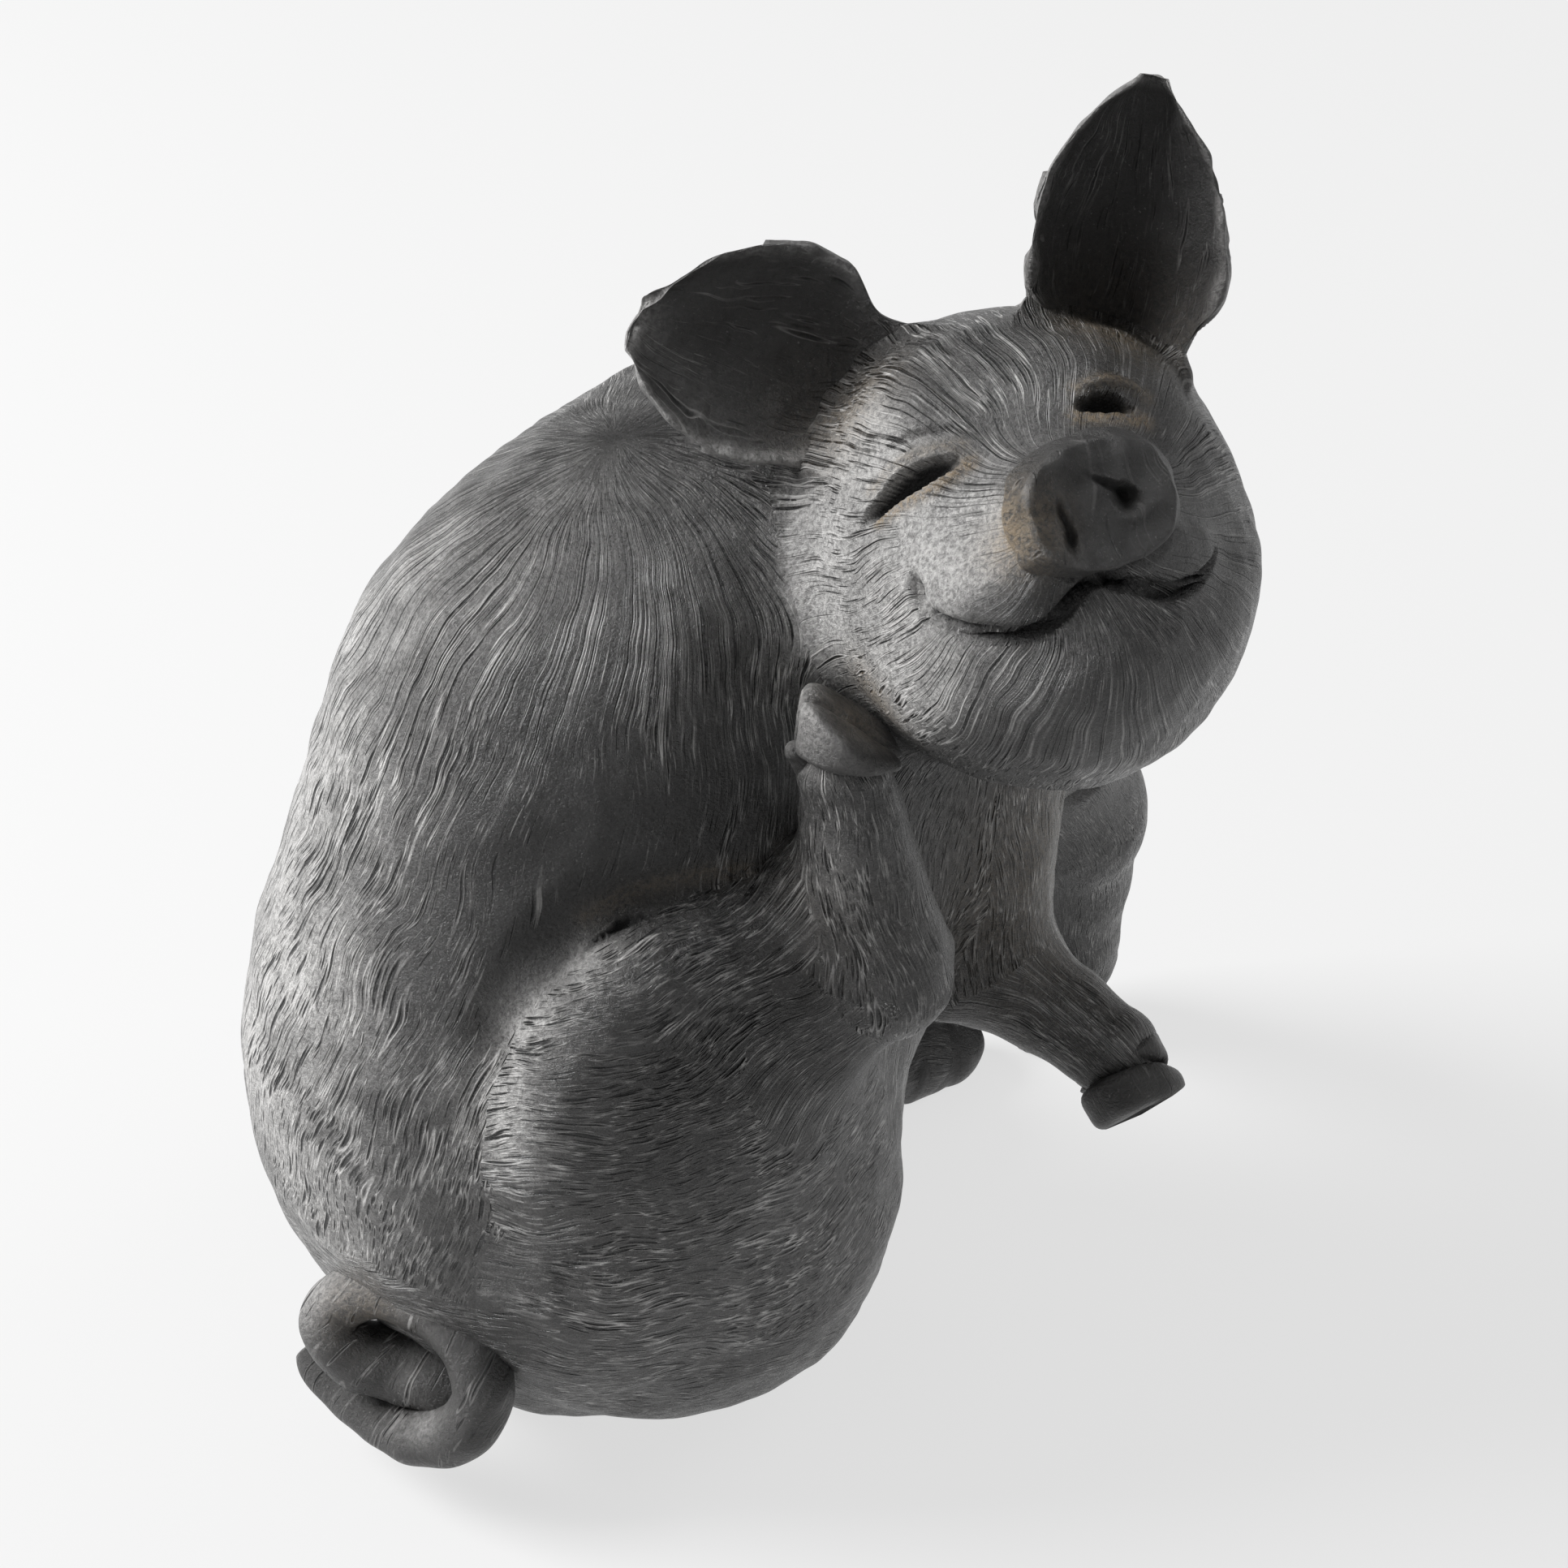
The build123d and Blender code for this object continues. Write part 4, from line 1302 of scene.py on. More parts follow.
@dataclass(frozen=True)
class TailCoil:
    """The curled roll at the rump: a tube along a path of places across, up and out from the centre."""

    node: str = "tail_coil"
    centre: Place = (-34.0, -53.5, 34.5)
    outward: Place = (-0.5, -0.8, 0.3)
    path: tuple = (
        (-11.6, -1.8, -14.0),
        (-4.3, -2.4, -8.4),
        (4.4, -2.8, -5.8),
        (12.9, -1.2, 0.2),
        (18.3, 4.5, 4.6),
        (16.8, 11.7, 4.6),
        (7.4, 17.1, 3.0),
        (-5.6, 17.4, 2.0),
        (-15.9, 12.2, 1.0),
        (-19.9, 2.9, 0.0),
        (-17.1, -7.6, -1.0),
        (-8.8, -14.5, -2.0),
        (3.8, -17.3, -4.0),
        (17.7, -16.1, -6.5),
        (27.4, -12.5, -8.5),
        (31.2, -9.8, -9.5),
    )
    radii: tuple = (9.4, 9.6, 9.2, 7.8, 6.6, 6.3, 6.4, 6.6, 6.8, 6.8, 6.8, 6.6, 6.2, 5.7, 5.2, 4.0)
    tip_length: float = 4.0
    spacing: float = 0.55

    def build(self, finish: "Clay") -> bpy.types.Object:
        """Sweeps the tube and dresses it.

        The tube at share s of the path is p(s) + r(s)(n cos v + b sin v), and r goes to nothing over the tip
        as a quarter circle does.

        Args:
            finish: The clay that the tail is made of.

        Returns:
            The piece, which stands for its node.
        """
        outward = unit(self.outward)
        across = unit(np.cross(outward, (0, 0, 1)))
        axes = np.array([across, np.cross(across, outward), outward])
        places = np.asarray(self.centre) + np.asarray(self.path) @ axes
        spacing = self.spacing * GRAIN
        rows = round(np.linalg.norm(np.diff(places, axis=0), axis=1).sum() * 1.04 / spacing)
        columns = round(2 * math.pi * max(self.radii) / spacing)
        line = finer_path(places, rows)
        ease_path(line, 3)
        share = np.linspace(0, 1, rows)
        radius = np.interp(share, np.linspace(0, 1, len(self.radii)), self.radii)
        left = (1 - share) * rows * spacing / self.tip_length
        radius = radius * np.sqrt(np.clip(left, 0.02, 1) * (2 - np.clip(left, 0, 1)))
        flow = np.gradient(line, axis=0)
        flow /= np.linalg.norm(flow, axis=1, keepdims=True)
        first = outward - (flow @ outward)[:, None] * flow
        first /= np.linalg.norm(first, axis=1, keepdims=True)
        second = np.cross(flow, first)
        turn = np.arange(columns) * 2 * math.pi / columns
        ways = np.cos(turn)[None, :, None] * first[:, None] + np.sin(turn)[None, :, None] * second[:, None]
        rings = line[:, None] + radius[:, None, None] * ways
        lift = Ripples(11, 0.22, 41).at(rings.reshape(-1, 3)).reshape(rows, columns, 1)
        rings = rings + ways * lift
        normals = np.vstack([-flow[:1], ways.reshape(-1, 3), flow[-1:]])
        places = np.vstack([line[:1], rings.reshape(-1, 3), line[-1:]])
        thing = ring_mesh(self.node, places, rows, columns)
        plain(BACK_FLOW, 0.3).put(thing, places, normals)
        return finish.dress(thing, self.node)


@dataclass(frozen=True)
class Snout:
    """The flat disc at the end of the muzzle, with a rounded rim, a low dish and two nostrils."""

    node: str = "snout_disc"
    middle: Place = (53.6, 0.8, 2.2)
    half_width: float = 16.0
    half_height: float = 12.7
    thickness: float = 8.5
    rim: float = 1.1
    power: float = 2.5
    nostrils: tuple = (
        (-8.4, -2.6, 4, 1.0, 4.8, 2.4),
        (5.6, -0.6, 46, 1.7, 3.0, 4.6),
        (2.0, 3.2, 46, 0.9, 4.2, 1.8),
    )
    spacing: float = 0.42

    def build(self, finish: "Clay") -> bpy.types.Object:
        """Turns the disc's profile along a superellipse and presses the nostrils in.

        The outline is |x/a|^n + |y/b|^n = 1. The profile goes from the middle of the back out along it, up
        the side wall, which flares towards the muzzle, round the rim and in to the middle of the face. A
        nostril is a place across and up, a lean in degrees, two half widths and a depth.

        Args:
            finish: The clay that the disc is made of.

        Returns:
            The piece, which stands for its node.
        """
        spacing = self.spacing * GRAIN
        columns = round(2 * math.pi * self.half_width / spacing)
        turn = np.arange(columns) * 2 * math.pi / columns
        level, upright = np.abs(np.cos(turn) / self.half_width), np.abs(np.sin(turn) / self.half_height)
        reach = (level**self.power + upright**self.power) ** (-1 / self.power)
        back, wall, rim = 0.5 * self.half_width, self.thickness, self.rim
        total = back + wall + rim * math.pi / 2 + self.half_width - rim
        rows = round(total / spacing)
        way = (np.arange(rows) + 0.5) / rows * total
        corner = np.clip((way - back - wall) / (rim * math.pi / 2), 0, 1) * math.pi / 2
        inset = rim * (1 - np.cos(corner)) + np.maximum(way - back - wall - rim * math.pi / 2, 0)
        radial = np.where(way < back, 0.86 * way / back, 0)
        height = np.clip(way - back, 0, wall) + rim * np.sin(corner) - 4.0
        flare = 0.185 * np.clip((4.5 - height) / 5.6, 0, 1) - 0.12 * np.clip((-0.6 - height) / 3.4, 0, 1)
        flare = flare[:, None] * smooth(np.sin(turn), -0.98, -0.4)[None]
        share = np.where(way < back, radial, 1 - inset / self.half_width)
        out = share[:, None] * reach[None, :] * np.where(way[:, None] < back, 1, 1 + flare)
        x, y = out * np.cos(turn), out * np.sin(turn)
        z = np.broadcast_to(height[:, None], out.shape).copy()
        face = smooth(z, 4.4, 5.4)
        inner = share[:, None] ** 2
        z = z - face * (1.2 * (1 - inner))
        flat = np.column_stack([x.ravel(), y.ravel(), z.ravel()])
        warp = Ripples(6, 0.5, 52)
        x_bent, y_bent = x + warp.at(flat).reshape(x.shape), y + warp.at(flat + 40).reshape(x.shape)
        # Painted shade inside the nostrils.
        hollow_shade = np.zeros_like(z)
        for across, rise, lean, wide, high, deep in self.nostrils:
            slant = math.radians(lean)
            u = (x_bent - across) * math.cos(slant) + (y_bent - rise) * math.sin(slant)
            v = (y_bent - rise) * math.cos(slant) - (x_bent - across) * math.sin(slant)
            near = (u / wide) ** 2 + (v / high) ** 2
            z = z - face * deep * np.exp(-(near**1.3)) + face * 0.8 * np.exp(-near / 4.5)
            hollow_shade = hollow_shade + face * np.exp(-(near**1.5))
        forward, left, up = SNOUT_AXES
        middle = on_head(*self.middle)
        rings = middle + x[..., None] * left + y[..., None] * up + z[..., None] * forward
        first, last = middle - 4.0 * forward, middle + z[-1].mean() * forward
        places = np.vstack([first[None], rings.reshape(-1, 3), last[None]])
        normals = surface_normals(places, rows, columns, -forward, forward)
        places = places + normals * Ripples(8, 0.22, 51).at(places)[:, None]
        thing = ring_mesh(self.node, places, rows, columns)
        plain(BACK_FLOW, 0.22).put(thing, places, normals)
        write_values(thing, "hollow_shade", np.clip(np.concatenate([[0.0], 0.8 * hollow_shade.ravel(), [0.0]]), 0, 1))
        return finish.dress(thing, self.node)


# The clay.


class Graph:
    """Shader nodes of one material, made and linked by short calls."""

    def __init__(self, material: bpy.types.Material) -> None:
        """Empties the material's node tree.

        Args:
            material: The material that the graph belongs to.
        """
        material.use_nodes = True
        self.tree = material.node_tree
        self.tree.nodes.clear()

    def node(self, kind: str, **settings: object) -> bpy.types.Node:
        """A new node with its settings.

        Args:
            kind: Type of the node.
            **settings: Its properties.

        Returns:
            The node.
        """
        made = self.tree.nodes.new(kind)
        for name, value in settings.items():
            setattr(made, name, value)
        return made

    def feed(self, socket: bpy.types.NodeSocket, value: object) -> None:
        """Links an output to the socket, or sets the socket's own value.

        Args:
            socket: The input.
            value: An output, a number, a vector or a colour.
        """
        if isinstance(value, bpy.types.NodeSocket):
            self.tree.links.new(value, socket)
        else:
            socket.default_value = value

    def math(
        self, operation: str, first: object, second: object = 0.0, clamp: bool = False
    ) -> bpy.types.NodeSocket:
        """Result of an operation on one or two values.

        Args:
            operation: Name of the operation.
            first: Output or number.
            second: Output or number, where the operation has two.
            clamp: Whether the result is kept between zero and one.

        Returns:
            The result.
        """
        made = self.node("ShaderNodeMath", operation=operation, use_clamp=clamp)
        self.feed(made.inputs[0], first)
        self.feed(made.inputs[1], second)
        return made.outputs[0]

    def product(self, first: object, *others: object, clamp: bool = False) -> bpy.types.NodeSocket:
        """Product of the values, one after the other.

        Args:
            first: Output or number.
            *others: What it is multiplied by.
            clamp: Whether each result is kept between zero and one.

        Returns:
            The result.
        """
        for other in others:
            first = self.math("MULTIPLY", first, other, clamp)
        return first

    def total(self, first: object, *others: object, clamp: bool = False) -> bpy.types.NodeSocket:
        """Sum of the values, one after the other.

        Args:
            first: Output or number.
            *others: What is added.
            clamp: Whether each result is kept between zero and one.

        Returns:
            The result.
        """
        for other in others:
            first = self.math("ADD", first, other, clamp)
        return first

    def step(
        self, value: object, low: object, high: object, bottom: float = 0.0, top: float = 1.0
    ) -> bpy.types.NodeSocket:
        """Smooth step of a value between two levels.

        Args:
            value: Output or number.
            low: Level where the step starts.
            high: Level where it ends.
            bottom: Result before the step.
            top: Result after it.

        Returns:
            The result.
        """
        made = self.node("ShaderNodeMapRange", interpolation_type="SMOOTHSTEP")
        for index, given in enumerate((value, low, high, bottom, top)):
            self.feed(made.inputs[index], given)
        return made.outputs[0]

    def blend(self, share: object, first: object, second: object) -> bpy.types.NodeSocket:
        """Mix of two colours.

        Args:
            share: Share of the second colour.
            first: Colour or value at zero.
            second: Colour or value at one.

        Returns:
            The mix.
        """
        made = self.node("ShaderNodeMix", data_type="RGBA")
        self.feed(made.inputs[0], share)
        self.feed(made.inputs[6], first)
        self.feed(made.inputs[7], second)
        return made.outputs[2]

    def carried(self, name: str, vector: bool = False) -> bpy.types.NodeSocket:
        """What the vertices carry under the name."""
        made = self.node("ShaderNodeAttribute", attribute_name=name)
        return made.outputs["Vector" if vector else "Fac"]

    def noise(
        self, vector: object, scale: float, detail: float = 3.0, roughness: float = 0.55
    ) -> bpy.types.NodeSocket:
        """Fractal noise.

        Args:
            vector: Where the noise is read.
            scale: Its fineness.
            detail: Number of octaves.
            roughness: Strength of each octave in the one before.

        Returns:
            The noise.
        """
        made = self.node("ShaderNodeTexNoise")
        given = {"Vector": vector, "Scale": scale, "Detail": detail, "Roughness": roughness}
        for name, value in given.items():
            self.feed(made.inputs[name], value)
        return made.outputs[0]

    def cells(self, vector: object, scale: float) -> tuple[bpy.types.NodeSocket, bpy.types.NodeOutputs]:
        """Distance to the nearest of scattered points, and three random numbers of that point.

        Args:
            vector: Where the distance is read.
            scale: How close the points lie.

        Returns:
            The distance and the numbers.
        """
        made = self.node("ShaderNodeTexVoronoi", feature="F1")
        self.feed(made.inputs["Vector"], vector)
        self.feed(made.inputs["Scale"], scale)
        numbers = self.node("ShaderNodeSeparateColor")
        self.feed(numbers.inputs[0], made.outputs["Color"])
        return made.outputs["Distance"], numbers.outputs

    def principled(self, sockets: dict[str, object]) -> None:
        """The shader with these sockets fed, as the material's surface.

        Args:
            sockets: What each named input gets.
        """
        shader = self.node("ShaderNodeBsdfPrincipled")
        for name, value in sockets.items():
            self.feed(shader.inputs[name], value)
        self.feed(self.node("ShaderNodeOutputMaterial").inputs[0], shader.outputs[0])


@dataclass(frozen=True)
class Clay:
    """Fired clay: colours from the painted shade in grooves to the rubbed ridge with its painted highlight,
    and the strokes' depth and their sizes.

    A kind of dash is the scale of its scattered points, the radius of its ball and how strong it is.
    """

    name: str
    # Painted shade inside the grooves of the strokes.
    groove_shade: tuple = (0.0055, 0.0055, 0.0056, 1)
    ground: tuple = (0.021, 0.0202, 0.0198, 1)
    # Darker bare clay, which also serves as painted shade where the strokes are few.
    bare_and_shaded: tuple = (0.009, 0.0087, 0.0084, 1)
    # Pale of dust and wear, and of the highlight painted on crests and on the side facing the key lamp.
    pale: tuple = (0.48, 0.472, 0.463, 1)
    ochre: tuple = (0.24, 0.18, 0.11, 1)
    # Near-black painted shade in deep hollows.
    hollow_shade: tuple = (0.004, 0.004, 0.004, 1)
    cut: float = 0.0016
    dashes: tuple = ((0.80, 0.32, 1.0), (1.25, 0.32, 0.95), (2.0, 0.32, 0.8))
    unevenness: float = 0.5
    # How strongly the pale dust, wear and painted highlight cover the clay.
    dust_and_highlight_strength: float = 1.0
    speckle: float = 0.35
    roughness: float = 0.31
    gloss: float = 0.62
    made: dict = field(default_factory=dict, compare=False)

    def strokes(self, graph: Graph, flow: object) -> tuple[bpy.types.NodeSocket, bpy.types.NodeSocket]:
        """Cuts along one flow, one on a cut's line and zero between, and the crests thrown up beside them.

        A cut is the inside of a small ball round each of many scattered points of the flow's space, where
        lengths along the flow are squeezed, so that it comes out long and narrow. A crest is the shell round
        the ball. A point's first random number says whether it has a cut, its second how high its crest is
        and how bright the highlight painted on it is.

        Args:
            graph: The nodes of the material.
            flow: The flow's coordinates.

        Returns:
            The cuts and the crests.
        """
        cut = crest = 0.0
        sparse = graph.step(graph.carried("strokes"), 0.0, 1.0, 0.85, 0.22)
        for scale, radius, strength in self.dashes:
            off, numbers = graph.cells(flow, scale)
            there = graph.step(numbers[0], sparse, graph.total(sparse, 0.15), 0.0, strength)
            inside = graph.step(off, radius * 0.45, radius, 1.0, 0.0)
            over = graph.math("ABSOLUTE", graph.math("SUBTRACT", off, radius * 1.34))
            shell = graph.step(over, 0.0, radius * 0.50, 1.0, 0.0)
            shell = graph.product(shell, graph.step(numbers[1], 0.3, 0.8, 0.06, 1.0))
            cut = graph.math("MAXIMUM", graph.product(inside, there), cut)
            crest = graph.math("MAXIMUM", graph.product(shell, there), crest)
        return cut, graph.math("SUBTRACT", crest, cut, clamp=True)

    def material(self) -> bpy.types.Material:
        """The material, made once.

        Returns:
            The material.
        """
        if "clay" not in self.made:
            self.made["clay"] = bpy.data.materials.new(self.name)
            self.mix(Graph(self.made["clay"]))
        return self.made["clay"]

    def mix(self, graph: Graph) -> None:
        """Strokes and grit as relief, and the colours that lie in them: painted shade in grooves, bare
        patches and deep hollows, pale rubbed wear with painted highlights on crests and lit sides, and dirt.

        Args:
            graph: The nodes of the material, still empty.
        """
        place = graph.node("ShaderNodeTexCoord").outputs["Object"]
        patch, slow, bunch = (
            graph.noise(place, scale, detail, rough)
            for scale, detail, rough in ((42, 3, 0.55), (34, 4, 0.62), (150, 2, 0.6))
        )
        grain, grit = graph.noise(place, 1500, 3, 0.7), graph.noise(place, 900, 5, 0.7)
        strokes = graph.carried("strokes")
        share = graph.total(graph.carried("flow_mix"), graph.product(patch, 0.8))
        share = graph.step(graph.math("SUBTRACT", share, 0.4), 0.4, 0.6)
        first, first_crest = self.strokes(graph, graph.carried("flow_a", True))
        second, second_crest = self.strokes(graph, graph.carried("flow_b", True))
        depth = graph.product(graph.step(slow, 0.34, 0.60, 0.45, 1.0), graph.step(strokes, 0.0, 0.4))
        depth = graph.product(depth, graph.step(bunch, 0.38, 0.58, 0.45, 1.15))
        groove = graph.product(graph.blend(share, first, second), depth)
        lip = graph.product(graph.blend(share, first_crest, second_crest), depth)
        height = graph.math("SUBTRACT", graph.product(lip, 0.30), groove)
        height = graph.total(height, graph.product(grit, self.unevenness), graph.product(grain, 0.16))
        bump = graph.node("ShaderNodeBump")
        for name, value in (("Strength", 1.0), ("Distance", self.cut), ("Height", height)):
            graph.feed(bump.inputs[name], value)
        # Painted shade: where the strokes are few the colour goes to the darker bare tone.
        covered = graph.product(graph.step(strokes, 0.1, 0.8), graph.step(slow, 0.3, 0.55, 0.5, 1.0))
        colour = graph.blend(covered, self.bare_and_shaded, self.ground)
        # Painted shade: the grooves go darker.
        colour = graph.blend(graph.step(groove, 0.05, 0.6), colour, self.groove_shade)
        # Pale rubbed wear, specks and dust, with a painted highlight on the crests and on the side facing the
        # key lamp.
        wear_and_highlight = graph.product(graph.carried("wear_and_highlight"), graph.step(patch, 0.32, 0.66, 0.62, 1.25))
        worn_and_highlit = graph.product(graph.step(grit, 0.30, 0.66, 0.3, 1.0), graph.step(wear_and_highlight, 0.0, 1.0, 0.03, 0.95))
        crest_dust_and_highlight = graph.product(graph.step(patch, 0.40, 0.60, 0.5, 1.1), graph.step(wear_and_highlight, 0.0, 0.6, 0.85, 1.2))
        specks = graph.product(graph.step(grain, 0.62, 0.70), graph.step(slow, 0.4, 0.6, 0.2, 0.8))
        dust_and_highlight = graph.total(worn_and_highlit, graph.product(lip, crest_dust_and_highlight), graph.product(specks, self.speckle))
        dust_and_highlight = graph.product(dust_and_highlight, graph.step(groove, 0.6, 0.0), clamp=True)
        colour = graph.blend(graph.product(dust_and_highlight, self.dust_and_highlight_strength), colour, self.pale)
        soil = graph.product(graph.carried("dirt"), graph.step(grit, 0.36, 0.60, 0.1, 1.0), clamp=True)
        colour = graph.blend(soil, colour, self.ochre)
        # Painted shade in deep hollows goes nearly black.
        graph.principled(
            {
                "Base Color": graph.blend(graph.carried("hollow_shade"), colour, self.hollow_shade),
                "Roughness": graph.step(grain, 0.3, 0.7, self.roughness - 0.08, self.roughness + 0.1),
                "Normal": bump.outputs[0],
                "Specular IOR Level": self.gloss,
            }
        )

    def dress(self, thing: bpy.types.Object, node: str) -> bpy.types.Object:
        """Gives the piece this clay and its body, and hides the imported part of the node that it stands for.

        Args:
            thing: The piece.
            node: The node that it stands for.

        Returns:
            The piece.
        """
        thing.data.materials.append(self.material())
        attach(thing, "root")
        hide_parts(node)
        LOG.info("%s: %d vertices", thing.name, len(thing.data.vertices))
        return thing


HAIRY = Clay("clay_with_strokes")
SMOOTH = Clay(
    "clay_burnished",
    # Bare colour, which also paints shade, close to the ground colour here.
    bare_and_shaded=(0.017, 0.0163, 0.0158, 1),
    cut=0.0010,
    unevenness=0.9,
    dust_and_highlight_strength=0.7,
    speckle=0.5,
    roughness=0.36,
)


# The figure.


def claw_pair(name: str, roll: Roll, parting: Place, gap: float, **ends: object) -> list[Claw]:
    """Both claws of a hoof, the outer and the inner.

    Args:
        name: Start of the nodes' names.
        roll: The hoof.
        parting: Direction across the parting.
        gap: Width of the parting.
        **ends: The claws' sole and coronet, or that they stand on the floor.

    Returns:
        The two claws, either side of the parting.
    """
    dressing = plain(roll_flow(roll), 0.15)
    sides = (("outer", -1), ("inner", 1))
    return [Claw(f"{name}_{which}", roll, parting, side, gap, dressing, **ends) for which, side in sides]


@dataclass
class Trunk:
    """The hollow body in two bowls, the neck and the tail."""

    seam: float = 112.0
    spacing: float = 1.04

    def build(self) -> list[bpy.types.Object]:
        """Both bowls, the neck collar and the coil.

        Returns:
            The four pieces.
        """
        level = np.array([0.0, 0.0, self.seam])
        near = ("haunch_left", "neck", "upper_left", "upper_right", "foot_left")
        near += ("haunch_right", "shank_right", "forearm_left")
        ears = ("ear_right", "ear_left")
        lower = Lump(
            "body_lower_bowl",
            Spine((8, 8, 48), (14, 12, 82), 68, self.spacing),
            Territory(("body",), near, (level, np.array([0.0, 0, 1]))),
            paired(Region.BACK),
        )
        upper = Lump(
            "body_upper_bowl",
            Spine((16, 14, 140), (26, 18, 166), 68, self.spacing),
            Territory(("body",), near + ("head",), (level, np.array([0.0, 0, -1]))),
            paired(Region.BACK),
        )
        neck = Lump(
            "neck_collar",
            Spine((60, 24, 190), (82, 12, 204), 44, 0.8),
            Territory(("neck",), ("body", "head", "upper_left", "shank_right", "foot_right", *ears)),
            paired(Region.FACE),
        )
        return [lower.build(HAIRY), upper.build(HAIRY), neck.build(HAIRY), TailCoil().build(SMOOTH)]


def leaf_flow(leaf: EarLeaf) -> Flow:
    """Strokes along an ear."""
    return along_flow(leaf.base, leaf.tip - leaf.base, 20)


RIGHT_NICKS = (Spot(on_head(2, -68, 66), 5, 0.8), Spot(on_head(6, -46, 72), 4, 0.4))
LEFT_NICKS = (Spot(on_head(30, 18, 74), 5, 0.7), Spot(on_head(26, 50, 66), 5, 0.5))


@dataclass
class Head:
    """Skull, jaw, muzzle, lips, snout disc and ears."""

    parting: float = -12.0
    spacing: float = 0.58

    def build(self) -> list[bpy.types.Object]:
        """All pieces of the head.

        Returns:
            The eight pieces.
        """
        place, up = on_head(0, 0, self.parting), HEAD_AXES[2]
        around = ("muzzle", "lip_right", "lip_left", "neck", "body", "ear_right", "ear_left", "foot_right")
        face = paired(Region.FACE, 0.7)
        shell = Lump(
            "head_shell",
            Spine(on_head(0, -14, 12), on_head(4, 16, 12), 36, self.spacing),
            Territory(("head",), around, (place, -up)),
            face,
        )
        jaw = Lump(
            "lower_jaw",
            Spine(on_head(8, -12, -20), on_head(12, 12, -20), 30, self.spacing),
            Territory(("head",), around, (place, up)),
            face,
        )
        muzzle = Lump(
            "muzzle",
            Spine(on_head(26, 0, -3), on_head(46, 0, 0), 18, 0.5),
            Territory(("muzzle",), ("head", "lip_right", "lip_left")),
            paired(Region.FACE, 0.45),
        )
        lips = [
            Lump(
                node,
                Spine(egg.centre - 5 * HEAD_AXES[0], egg.centre + 5 * HEAD_AXES[0], 11, 0.5),
                Territory((name,), ("head", "muzzle", other)),
                paired(Region.FACE, 0.4),
            )
            for node, egg, name, other in (
                ("upper_lip_right", RIGHT_LIP, "lip_right", "lip_left"),
                ("upper_lip_left", LEFT_LIP, "lip_left", "lip_right"),
            )
        ]
        ears = [
            Ear(node, leaf, plain(leaf_flow(leaf), 0.22), thicker, curl, nicks)
            for node, leaf, thicker, curl, nicks in (
                ("ear_right", RIGHT_EAR, 0.25, 0.6, RIGHT_NICKS),
                ("ear_left", LEFT_EAR, 0.35, 1.2, LEFT_NICKS),
            )
        ]
        made = [lump.build(HAIRY) for lump in (shell, jaw, muzzle, *lips)]
        return made + [piece.build(SMOOTH) for piece in (Snout(), *ears)]


# A parting so far outside the roll that it cuts nothing off.
WHOLE = -12.0


@dataclass
class RaisedLeg:
    """The right hind leg, whose foot scratches the chin."""

    hoof: Roll = field(default_factory=lambda: Roll((61.5, -38.0, 176.0), (63.5, -38.0, 200.0), 12.2, 11.8))
    parting: Place = (0.0, 1.0, 0.0)
    sole: tuple = ((61.0, -44.0, 198.6), (0.608, 0.11, 0.786))
    coronet: tuple = ((61.0, -40.0, 188.2), (0.163, 0.27, 1.0))
    dewclaw: Roll = field(default_factory=lambda: Roll((53.5, -39.0, 187.0), (51.3, -40.0, 190.5), 3.6, 2.2))

    def build(self) -> list[bpy.types.Object]:
        """Haunch, shank, foot, two claws and the dewclaw.

        Returns:
            The six pieces.
        """
        haunch = Lump(
            "haunch_right",
            Spine((20, -26, 62), (28, -26, 92), 46, 0.85),
            Territory(("haunch_right",), ("body", "shank_right", "upper_right", "foot_right")),
            paired(Region.HAUNCH),
        )
        shank = Lump(
            "shank_right",
            Spine((52, -36, 120), (64, -37, 130), 16, 0.7),
            Territory(("shank_right",), ("haunch_right", "foot_right", "body", "neck", "upper_right")),
            plain(roll_flow(RIGHT_SHANK)),
        )
        foot = Lump(
            "hind_foot_right",
            Spine((68, -37.5, 140), (62, -38, 174), 11.5, 0.55),
            Territory(("foot_right",), ("shank_right", "haunch_right", "head", "neck")),
            plain(along_flow((69, -38, 134), (-8, 0, 46), 11, fineness=1.35), 0.7),
        )
        ends = {"sole": self.sole, "coronet": self.coronet}
        claws = claw_pair("hind_hoof_right", self.hoof, self.parting, 1.0, **ends)
        nub_flow = plain(roll_flow(self.dewclaw), 0.15)
        nub = Claw("dewclaw_hind_right", self.dewclaw, self.parting, -1, WHOLE, nub_flow, spacing=0.4)
        made = [lump.build(HAIRY) for lump in (haunch, shank, foot)]
        return made + [claw.build(SMOOTH) for claw in (*claws, nub)]


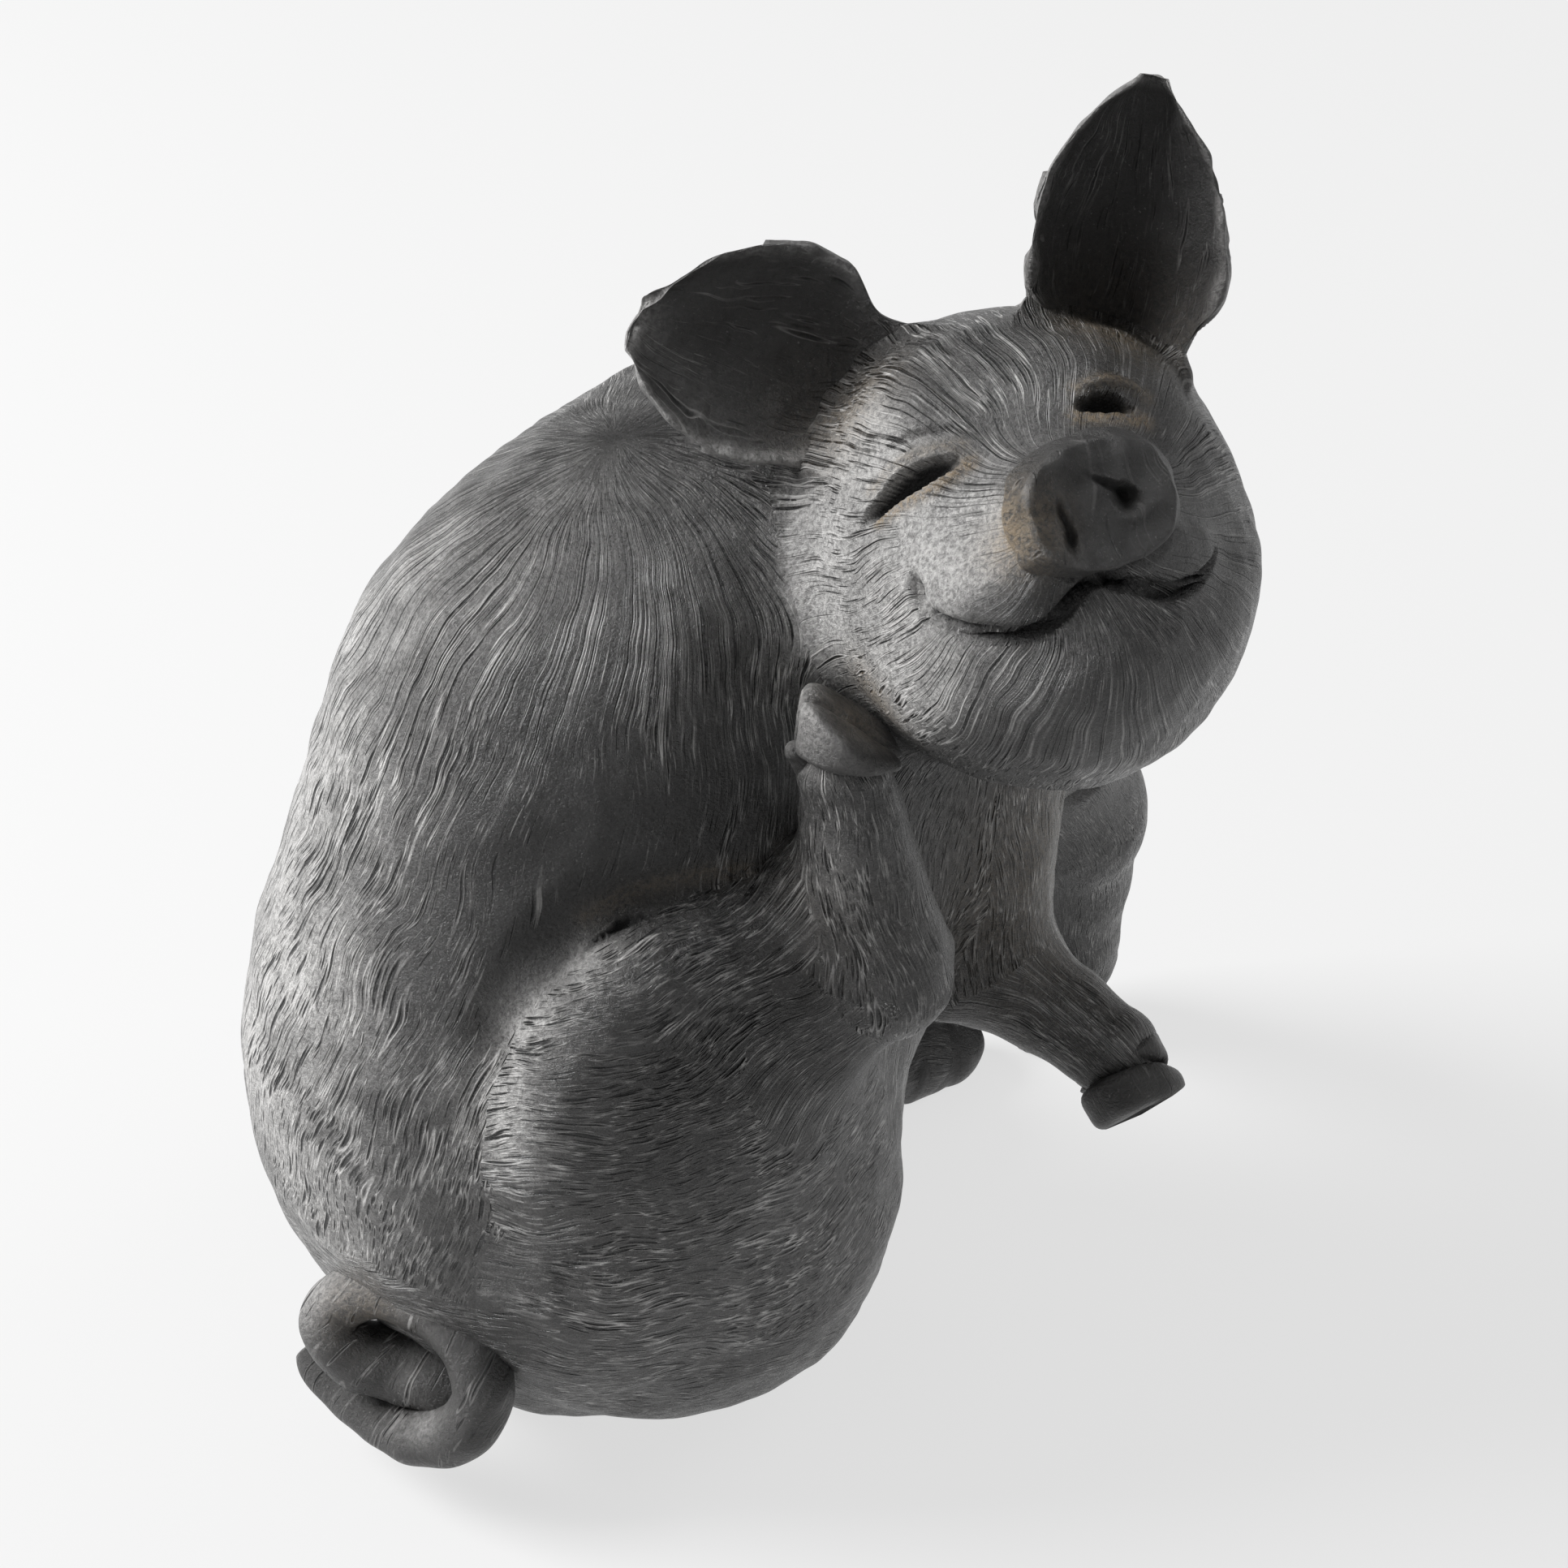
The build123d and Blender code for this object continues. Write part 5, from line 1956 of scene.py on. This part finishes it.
@dataclass
class Forelegs:
    """The bent right foreleg and the left one that carries the chest."""

    parting: Place = (-0.3, 0.8, 0.5)
    floor_parting: Place = (0.64, -0.77, 0.0)
    sole: tuple = ((130.0, -1.0, 64.5), (0.42, -0.66, -0.62))
    coronet: tuple = ((123.5, 6.0, 73.5), (0.62, -0.5, -0.6))
    right_hoof: Roll = field(default_factory=lambda: Roll((121, 8.5, 77), (131, -1, 63), 11.6, 11.4))
    left_hoof: Roll = field(default_factory=lambda: Roll((117, 115.5, 22), (117, 113, 4), 12.4, 14.0))

    def build(self) -> list[bpy.types.Object]:
        """Upper and lower parts and the claws of both legs.

        Returns:
            The eight pieces.
        """
        lumps = (
            Lump(
                "upper_foreleg_right",
                Spine((91, 31, 134), (95, 26, 98), 17, 0.75),
                Territory(("upper_right",), ("body", "forearm_right", "haunch_right", "neck", "upper_left")),
                plain(roll_flow(RIGHT_UPPER_ARM)),
            ),
            Lump(
                "forearm_right",
                Spine((100, 21.5, 86), (118, 10.5, 78), 11, 0.6),
                Territory(("forearm_right",), ("upper_right", "body", "haunch_right")),
                plain(roll_flow(RIGHT_FOREARM)),
            ),
            Lump(
                "upper_foreleg_left",
                Spine((96, 68, 126), (112, 94, 88), 22, 0.85),
                Territory(("upper_left",), ("body", "forearm_left", "neck", "upper_right", "haunch_left")),
                plain(roll_flow(LEFT_UPPER_ARM)),
            ),
            Lump(
                "forearm_left",
                Spine((116, 103, 70), (117, 114, 30), 14, 0.75),
                Territory(("forearm_left",), ("upper_left", "body")),
                plain(roll_flow(LEFT_FOREARM)),
            ),
        )
        held, standing = self.right_hoof, self.left_hoof
        claws = claw_pair("fore_hoof_right", held, self.parting, 0.9, sole=self.sole, coronet=self.coronet)
        claws += claw_pair("fore_hoof_left", standing, self.floor_parting, 1.0, floor=True)
        return [lump.build(HAIRY) for lump in lumps] + [claw.build(SMOOTH) for claw in claws]


@dataclass
class FoldedLeg:
    """The left hind leg beside the belly, with its foot on the floor."""

    hoof: Roll = field(default_factory=lambda: Roll((78.0, 90.0, 10.0), (87.0, 96.0, 8.0), 13.2, 11.5))
    parting: Place = (0.64, -0.77, 0.0)

    def build(self) -> list[bpy.types.Object]:
        """Haunch, foot and claws.

        Returns:
            The four pieces.
        """
        haunch = Lump(
            "haunch_left",
            Spine((6, 48, 46), (48, 70, 34), 40, 0.95),
            Territory(("haunch_left",), ("body", "foot_left")),
            paired(Region.BACK),
        )
        foot = Lump(
            "hind_foot_left",
            Spine((62, 80, 16), (76, 88, 12), 13, 0.7),
            Territory(("foot_left",), ("haunch_left", "body")),
            plain(roll_flow(LEFT_HIND_FOOT)),
        )
        claws = claw_pair("hind_hoof_left", self.hoof, self.parting, 1.0, floor=True)
        return [haunch.build(HAIRY), foot.build(HAIRY)] + [claw.build(SMOOTH) for claw in claws]


# The studio.


@dataclass(frozen=True)
class Lamp:
    """A soft square lamp: its place and aim in metres, its size and its power in watts."""

    name: str
    place: Place
    aim: Place
    size: float
    watts: float

    def hang(self) -> None:
        """Puts the lamp into the scene."""
        light = bpy.data.lights.new(self.name, "AREA")
        light.energy = self.watts
        light.size = self.size
        thing = bpy.data.objects.new(self.name, light)
        thing.location = self.place
        way = Vector(self.aim) - Vector(self.place)
        thing.rotation_euler = way.to_track_quat("-Z", "Y").to_euler()
        bpy.context.scene.collection.objects.link(thing)


@dataclass
class Studio:
    """A pale floor that runs out of sight, soft lamps and the camera, none of them part of the figure."""

    pitch: float = 35.0
    away: float = 1050.0
    target: Place = (49.0, 20.0, 140.0)
    lens: float = 109.56
    sensor: float = 36.0
    floor_size: float = 30.0
    floor_middle: Place = (0.0, 8.0, 0.0)
    floor_tone: float = 0.80
    seen_tone: float = 0.17
    seen_glow: float = 0.68
    world_light: float = 0.20
    lamps: tuple[Lamp, ...] = (
        Lamp("key", (-1.35, 0.15, 1.15), (0.02, 0, 0.13), 0.9, 56),
        Lamp("fill", (1.3, 0.4, 1.2), (0.05, 0, 0.14), 1.0, 8),
    )

    def floor(self) -> None:
        """Pale floor that keeps the figure's shadow, and that seen or mirrored has a glow of its own."""
        bpy.ops.mesh.primitive_plane_add(size=self.floor_size, location=self.floor_middle)
        floor = bpy.context.object
        floor.name = "floor"
        material = bpy.data.materials.new("floor_white")
        graph = Graph(material)
        rays = graph.node("ShaderNodeLightPath").outputs
        kinds = ("Is Camera Ray", "Is Glossy Ray", "Is Transmission Ray")
        seen = graph.total(*(rays[kind] for kind in kinds), clamp=True)
        tones = ((tone, tone, tone, 1) for tone in (self.floor_tone, self.seen_tone))
        graph.principled(
            {
                "Base Color": graph.blend(seen, *tones),
                "Roughness": 0.9,
                "Specular IOR Level": 0.0,
                "Emission Color": (1, 1, 1, 1),
                "Emission Strength": graph.product(seen, self.seen_glow),
            }
        )
        floor.data.materials.append(material)

    def world(self) -> None:
        """Even white light from all round."""
        world = bpy.data.worlds.new("pale")
        world.use_nodes = True
        background = world.node_tree.nodes["Background"]
        background.inputs[0].default_value = (1, 1, 1, 1)
        background.inputs[1].default_value = self.world_light
        bpy.context.scene.world = world

    def camera(self) -> None:
        """Camera that looks down at the figure from the side that the face looks to."""
        pitch = math.radians(self.pitch)
        back = Vector((0, -math.cos(pitch), math.sin(pitch)))
        data = bpy.data.cameras.new("view")
        data.lens = self.lens
        data.sensor_width = self.sensor
        thing = bpy.data.objects.new("view", data)
        thing.location = (Vector(self.target) + back * self.away) * MM
        thing.rotation_euler = back.to_track_quat("Z", "Y").to_euler()
        bpy.context.scene.collection.objects.link(thing)
        bpy.context.scene.camera = thing

    def build(self) -> None:
        """Floor, world, lamps and camera."""
        self.floor()
        self.world()
        for lamp in self.lamps:
            lamp.hang()
        bpy.context.scene.view_settings.view_transform = "Standard"
        self.camera()


def main() -> None:
    """Builds the figure part by part, then the studio."""
    logging.basicConfig(level=logging.INFO, format="%(message)s")
    for part in (Trunk(), Head(), RaisedLeg(), Forelegs(), FoldedLeg()):
        made = part.build()
        LOG.info("%s: %d pieces", type(part).__name__, len(made))
    Studio().build()


if __name__ == "__main__":
    main()
